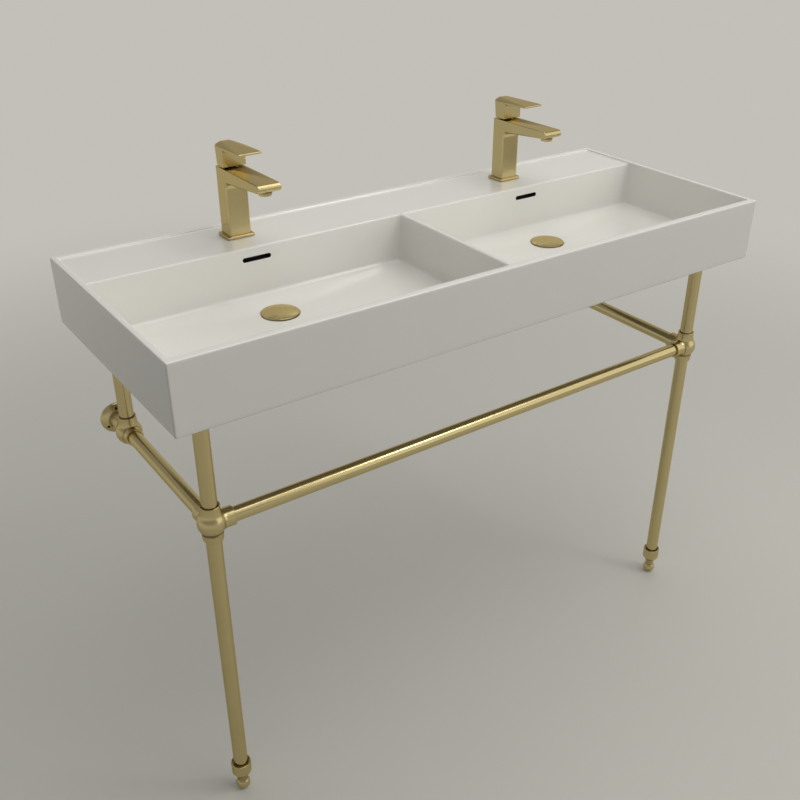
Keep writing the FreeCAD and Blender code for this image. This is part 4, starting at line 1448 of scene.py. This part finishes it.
    def lever_sheet(self) -> Shape:
        """Makes the lever's side sheet, cut into strips and cleared below the blade.

        Returns:
            The sheet at the lever's left side.
        """
        bm = bmesh.new()
        near, far = -self.lever_reach, self.half_depth
        low, top = self.lever_lines[0], self.lever_lines[-1]
        upright = Matrix(((0, 0, 1, 0), (1, 0, 0, 0), (0, 1, 0, 0), (0, 0, 0, 1)))
        size = Matrix.Diagonal(((far - near) / 2 * MM, (top - low) / 2 * MM, 1.0, 1.0))
        middle = Vector((-self.half_width, (near + far) / 2, (low + top) / 2)) * MM
        sheet = Matrix.Translation(middle) @ upright @ size
        bmesh.ops.create_grid(bm, x_segments=1, y_segments=1, size=1.0, matrix=sheet)
        self.sliced(bm, BACK, self.lever_stations)
        self.sliced(bm, UP, self.lever_lines[1:-1])
        root = Vector((0, -self.half_depth, self.lever_root)) * MM
        middles = {face: face.calc_center_median() for face in bm.faces}
        empty = [face for face, spot in middles.items() if spot.y < root.y and spot.z < root.z]
        bmesh.ops.delete(bm, geom=empty, context="FACES")
        for vert in bm.verts:
            vert.co.z = self.lever_line(vert.co.y / MM, vert.co.z / MM) * MM
        return bm

    def lever_cage(self) -> Shape:
        """Draws the lever's side sheet out across, and softens, arches, tapers and leans it.

        Returns:
            The closed cage about the column's axis at deck height.
        """
        bm = self.lever_sheet()
        faces = bm.faces[:]
        for step in (self.half_width / 2, self.half_width, self.half_width / 2):
            faces = self.drawn(bm, faces, EAST * step)
        low, top = self.lever_lines[0], self.lever_lines[-1]
        for vert in bm.verts:
            y, z = vert.co.y / MM, vert.co.z / MM
            if abs(vert.co.x) < (self.half_width - NEAR) * MM:
                soft = self.lever_soft(y, *self.crown)
                if z <= self.lever_line(y, self.lever_lines[-3]):
                    share = max(0.0, (y + self.half_depth) / (2 * self.half_depth))
                    soft = self.block[0] + (self.block[1] - self.block[0]) * share**self.block_bend
                vert.co.x = math.copysign((self.half_width - soft) * MM, vert.co.x)
            elif z > self.lever_line(y, top) - SAME:
                vert.co.z -= self.lever_soft(y, 0.0, 1.0) ** 2 * self.lever_arch * MM
            if y > self.half_depth - SAME:
                vert.co.x *= self.lever_taper
                vert.co.y += self.lever_lean * (z - low) / (top - low) * MM
        bmesh.ops.recalc_face_normals(bm, faces=bm.faces[:])
        return bm

    def casting(self) -> None:
        """Builds the column and spout."""
        word, half = self.side.word, self.half_depth
        outline = [
            (half, self.foot),
            (half, self.column),
            (-self.reach, self.tip_high),
            (-self.reach, self.tip_low),
            (-half, self.root),
            (-half, self.foot),
        ]
        bm = self.slab(outline, {4: self.root_round, 2: self.tip_round, 3: self.tip_round})
        self.weigh(bm, self.casting_round)
        bore = self.turned(self.bar(self.nut_radius, *self.nut_span), Vector())
        shape = self.carved(bm, bore, bevel=self.soft)
        bmesh.ops.translate(shape, vec=self.origin, verts=shape.verts[:])
        # Tarnish and painted shade darken the ring round the cartridge nut's bore
        seams = SeamRing.rings(self.origin, UP, (self.column, self.nut_radius, 3.0))
        self.metal(shape, f"{word}_tap_casting", f"{word}_tap_body", seams, Run.Z)

    def lever(self) -> None:
        """Builds the lever handle, hollow below and drilled at the back for its screw."""
        word = self.side.word
        solid = self.smoothed(self.lever_cage(), self.lever_smoothing)
        wide, deep, top = self.cavity
        pocket = self.brick(Vector((-wide, -deep, self.cavity_low)) * MM, Vector((wide, deep, top)) * MM)
        drill = self.bar(self.screw_radius, *self.screw_span)
        hole = self.turned(drill, UP * (self.screw_height * MM), BACK, steps=24)
        shape = self.carved(solid, self.joined(pocket, hole))
        bmesh.ops.translate(shape, vec=self.origin, verts=shape.verts[:])
        # Tarnish and painted shade darken the crease under the blade's root
        root = self.origin + Vector((0, -self.half_depth, self.lever_root)) * MM
        seams = SeamRing.rings(root, EAST, (0.0, 0.0, 4.0))
        self.metal(shape, f"{word}_tap_lever", f"{word}_tap_handle", seams, Run.Y, f"{word}_lever")

    def base_plate(self) -> None:
        """Builds the base plate."""
        node = f"{self.side.word}_tap_base_plate"
        low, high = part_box(node)
        bm = self.brick(low, high)
        upright = [edge for edge in bm.edges if abs(edge.verts[0].co.z - edge.verts[1].co.z) > NEAR * MM]
        self.soften(bm, upright, self.plate_corner, segments=5)
        rim = [edge for edge in bm.edges if all(abs(vert.co.z - high.z) < WELD for vert in edge.verts)]
        self.soften(bm, rim, self.plate_rim, segments=4)
        hole = self.turned(self.bar(self.plate_hole, -self.plate_cut, self.plate_cut), self.middle(node))
        self.metal(self.carved(bm, hole), f"{node}_rim", node)

    def aerator(self) -> None:
        """Builds the aerator's ring under the spout's tip."""
        node = f"{self.side.word}_aerator"
        centre = self.under(node)
        outline = [(8.4, -2.2), (8.8, -2.6), (10.2, -2.6), (10.7, -2.1), (10.7, -0.2), (11.3, 0.2)]
        outline += [(11.5, 0.8), (11.5, 4.0), (10.4, 4.0), (10.4, 10.5), (8.4, 10.5)]
        # Tarnish and painted shade darken the aerator's bore and the joint under the spout
        seams = SeamRing.rings(centre, UP, (0.0, 8.4, 1.6), (4.0, 11.5, 1.4))
        self.metal(self.turned(outline, centre, closed=True), f"{node}_ring", node, seams)

    def build(self) -> None:
        """Builds the tap's visible pieces."""
        self.casting()
        self.lever()
        self.base_plate()
        self.aerator()


@dataclass
class PushDrain(Bench):
    """One push drain's domed cap."""

    side: Side
    radius: float = 32.5
    crown: float = 5.0

    def build(self) -> None:
        """Builds the cap."""
        node = f"{self.side.word}_drain_cap"
        centre = self.under(node)
        outline = [(0.0, 0.0), (31.4, 0.0), (32.2, 0.3), (self.radius, 0.9), (32.45, 1.5), (32.1, 2.1)]
        outline += [(31.2, 2.5), (28.0, 3.1), (23.0, 3.85), (16.0, 4.5), (8.0, 4.88), (0.0, self.crown)]
        shape = self.turned(outline, centre, steps=96)
        # Tarnish and painted shade darken the cap's rim where it sits in the seat
        seams = SeamRing.rings(centre, UP, (0.0, self.radius, 1.2))
        self.metal(shape, f"{node}_dome", node, seams, Run.X, f"{self.side.word}_plug")


@dataclass
class CarriedNodes:
    """The CAD nodes whose shape is right as it is, which get their slot's finish."""

    frame: dict[str, Any]
    rack: FinishRack

    def dress(self) -> None:
        """Gives each node that still shows its finish."""
        for row in self.frame["record"]["subparts"]:
            node = self.frame["nodes"][row["node"]]
            if node.hide_render:
                continue
            node.data.materials.clear()
            node.data.materials.append(self.rack.of(Slot(row["material_slot"])))
            LOG.info("%s keeps its shape in %s", row["node"], row["material_slot"])


@dataclass(frozen=True)
class PhotoCamera:
    """A camera where the photographer's stood."""

    place: Triple = (-1.008, -1.344, 1.507)
    yaw: float = 36.456
    pitch: float = -30.375
    roll: float = 0.6765
    focal: float = 978.7
    image: float = 800.0
    axis_at: Point = (424.08, 420.70)
    sensor: float = 36.0

    def build(self) -> None:
        """Makes the camera and looks through it."""
        yaw, pitch, roll = (math.radians(angle) for angle in (self.yaw, self.pitch, self.roll))
        level = math.cos(pitch)
        ahead = Vector((math.sin(yaw) * level, math.cos(yaw) * level, math.sin(pitch)))
        right = Vector((math.cos(yaw), -math.sin(yaw), 0))
        facing = Matrix((right, right.cross(ahead), -ahead)).transposed()
        turned = Matrix.Rotation(-roll, 3, ahead) @ facing
        data = bpy.data.cameras.new("photo_camera")
        data.sensor_width = self.sensor
        data.lens = self.focal * self.sensor / self.image
        data.shift_x = (self.image / 2 - self.axis_at[0]) / self.image
        data.shift_y = (self.axis_at[1] - self.image / 2) / self.image
        camera = bpy.data.objects.new("photo_camera", data)
        camera.matrix_world = Matrix.Translation(self.place) @ turned.to_4x4()
        bpy.context.scene.collection.objects.link(camera)
        bpy.context.scene.camera = camera


@dataclass(frozen=True)
class SoftBox:
    """One large soft lamp."""

    name: str
    place: Triple
    target: Triple
    size: Point
    power: float

    def build(self, colour: Triple) -> None:
        """Hangs the lamp in a colour and turns it to its target."""
        data = bpy.data.lights.new(self.name, "AREA")
        data.shape = "RECTANGLE"
        data.size, data.size_y = self.size
        data.energy = self.power
        data.color = colour
        lamp = bpy.data.objects.new(self.name, data)
        lamp.location = self.place
        aim = Vector(self.target) - Vector(self.place)
        lamp.rotation_euler = aim.to_track_quat("-Z", "Y").to_euler()
        bpy.context.scene.collection.objects.link(lamp)


@dataclass(frozen=True)
class Studio:
    """The plain pale floor, the soft lamps and the even surroundings."""

    light_tone: Triple = (1.0, 0.98, 0.94)
    lamps: tuple[SoftBox, ...] = (
        SoftBox("overhead", (0.3, -0.3, 3.2), (0.0, -0.1, 0.9), (2.8, 2.0), 26.0),
        SoftBox("window", (1.5, -1.6, 3.1), (0.0, -0.1, 0.8), (0.6, 0.6), 8.0),
        SoftBox("near_front", (2.0, -1.9, 2.0), (0.2, -0.1, 0.8), (3.2, 2.8), 17.0),
    )
    floor_half: float = 30.0
    floor_tone: Triple = tone(208, 208, 202)
    floor_shade: float = 0.97
    floor_cloud: Point = (1.4, 3.0)
    floor_roughness: Point = (0.4, 0.1)
    floor_shine: float = 0.2
    bounce_tone: Triple = tone(125, 123, 117)
    haze_tone: Triple = tone(194, 192, 184)
    haze_reach: Point = (1.0, 3.2)
    air_level: float = 0.08
    air_right: float = 0.5
    air_front: float = 0.46
    air_back: float = 0.6
    pale_level: float = 0.3
    pale_right: float = 0.18
    pale_back: float = 0.04
    pale_rise: Point = (0.0, 0.32)

    def build(self) -> None:
        """Sets the stage round the washbasin."""
        self.floor()
        self.air()
        for lamp in self.lamps:
            lamp.build(self.light_tone)
        bpy.context.scene.view_settings.view_transform = "Standard"

    @staticmethod
    def shown(graph: Graph) -> Signal:
        """Gives 1 for rays that show the surroundings, straight or in gloss and glass, and 0 for the rest.

        Args:
            graph: The node tree.

        Returns:
            The switch.
        """
        kinds = ("Is Camera Ray", "Is Glossy Ray", "Is Transmission Ray")
        straight, gloss, glass = (graph.add("ShaderNodeLightPath", output=kind) for kind in kinds)
        return straight.at_least(gloss.at_least(glass))

    def floor(self) -> None:
        """Lays the floor, which looks pale but throws little light back under the washbasin."""
        bm = bmesh.new()
        bmesh.ops.create_grid(bm, x_segments=4, y_segments=4, size=self.floor_half)
        floor = Bench.loose(bm, "studio_floor")
        graph = Graph.material("studio_floor")
        cloud = graph.noise(graph.place(), *self.floor_cloud)
        shown = self.shown(graph)
        shade = tuple(self.floor_shade * part for part in self.floor_tone)
        sockets = {
            "Base Color": graph.mix(shown, self.bounce_tone, graph.mix(cloud, shade, self.floor_tone)),
            "Roughness": self.floor_roughness[0] + self.floor_roughness[1] * cloud,
            "Specular IOR Level": self.floor_shine,
        }
        lit = graph.add("ShaderNodeBsdfPrincipled", None, sockets)
        haze = graph.add("ShaderNodeEmission", None, {"Color": opaque(self.haze_tone)})
        away = graph.add("ShaderNodeVectorMath", {"operation": "LENGTH"}, {0: graph.place()}, "Value")
        share = graph.fade(away, *self.haze_reach) * shown
        faded = graph.add("ShaderNodeMixShader", None, {0: share, 1: lit, 2: haze})
        graph.add("ShaderNodeOutputMaterial", None, {"Surface": faded})
        floor.data.materials.append(graph.owner)

    def air(self) -> None:
        """Wires the surroundings; the low sky shows the far floor's tone."""
        world = bpy.data.worlds.new("studio_air")
        bpy.context.scene.world = world
        graph = Graph(world)
        where = graph.add("ShaderNodeTexCoord", output="Generated")
        right, back, up = (graph.add("ShaderNodeSeparateXYZ", None, {0: where}, side) for side in "XYZ")
        rightward, backward, forward = (way.at_least(0.0) for way in (right, back, 0.0 - back))
        sides = self.air_level + self.air_right * rightward
        glow = sides + self.air_front * forward + self.air_back * backward
        pale = self.pale_level + self.pale_right * rightward + self.pale_back * backward
        high = graph.fade(up, *self.pale_rise)
        shown = self.shown(graph)
        colour = graph.mix(shown * (1.0 - high), self.light_tone, self.haze_tone)
        strength = shown * (1.0 + (pale - 1.0) * high) + (1.0 - shown) * glow
        sky = graph.add("ShaderNodeBackground", None, {"Color": colour, "Strength": strength})
        graph.add("ShaderNodeOutputWorld", None, {"Surface": sky})


def main() -> None:
    """Builds the washbasin's looks over the frame."""
    logging.basicConfig(level=logging.INFO, format="%(name)s: %(message)s")
    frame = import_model()
    rack = FinishRack()
    PhotoCamera().build()
    Studio().build()
    CeramicBasin(rack).build()
    TubeStand(rack).build()
    for side in Side:
        PillarTap(rack, side).build()
        PushDrain(rack, side).build()
    CarriedNodes(frame, rack).dress()


if __name__ == "__main__":
    main()
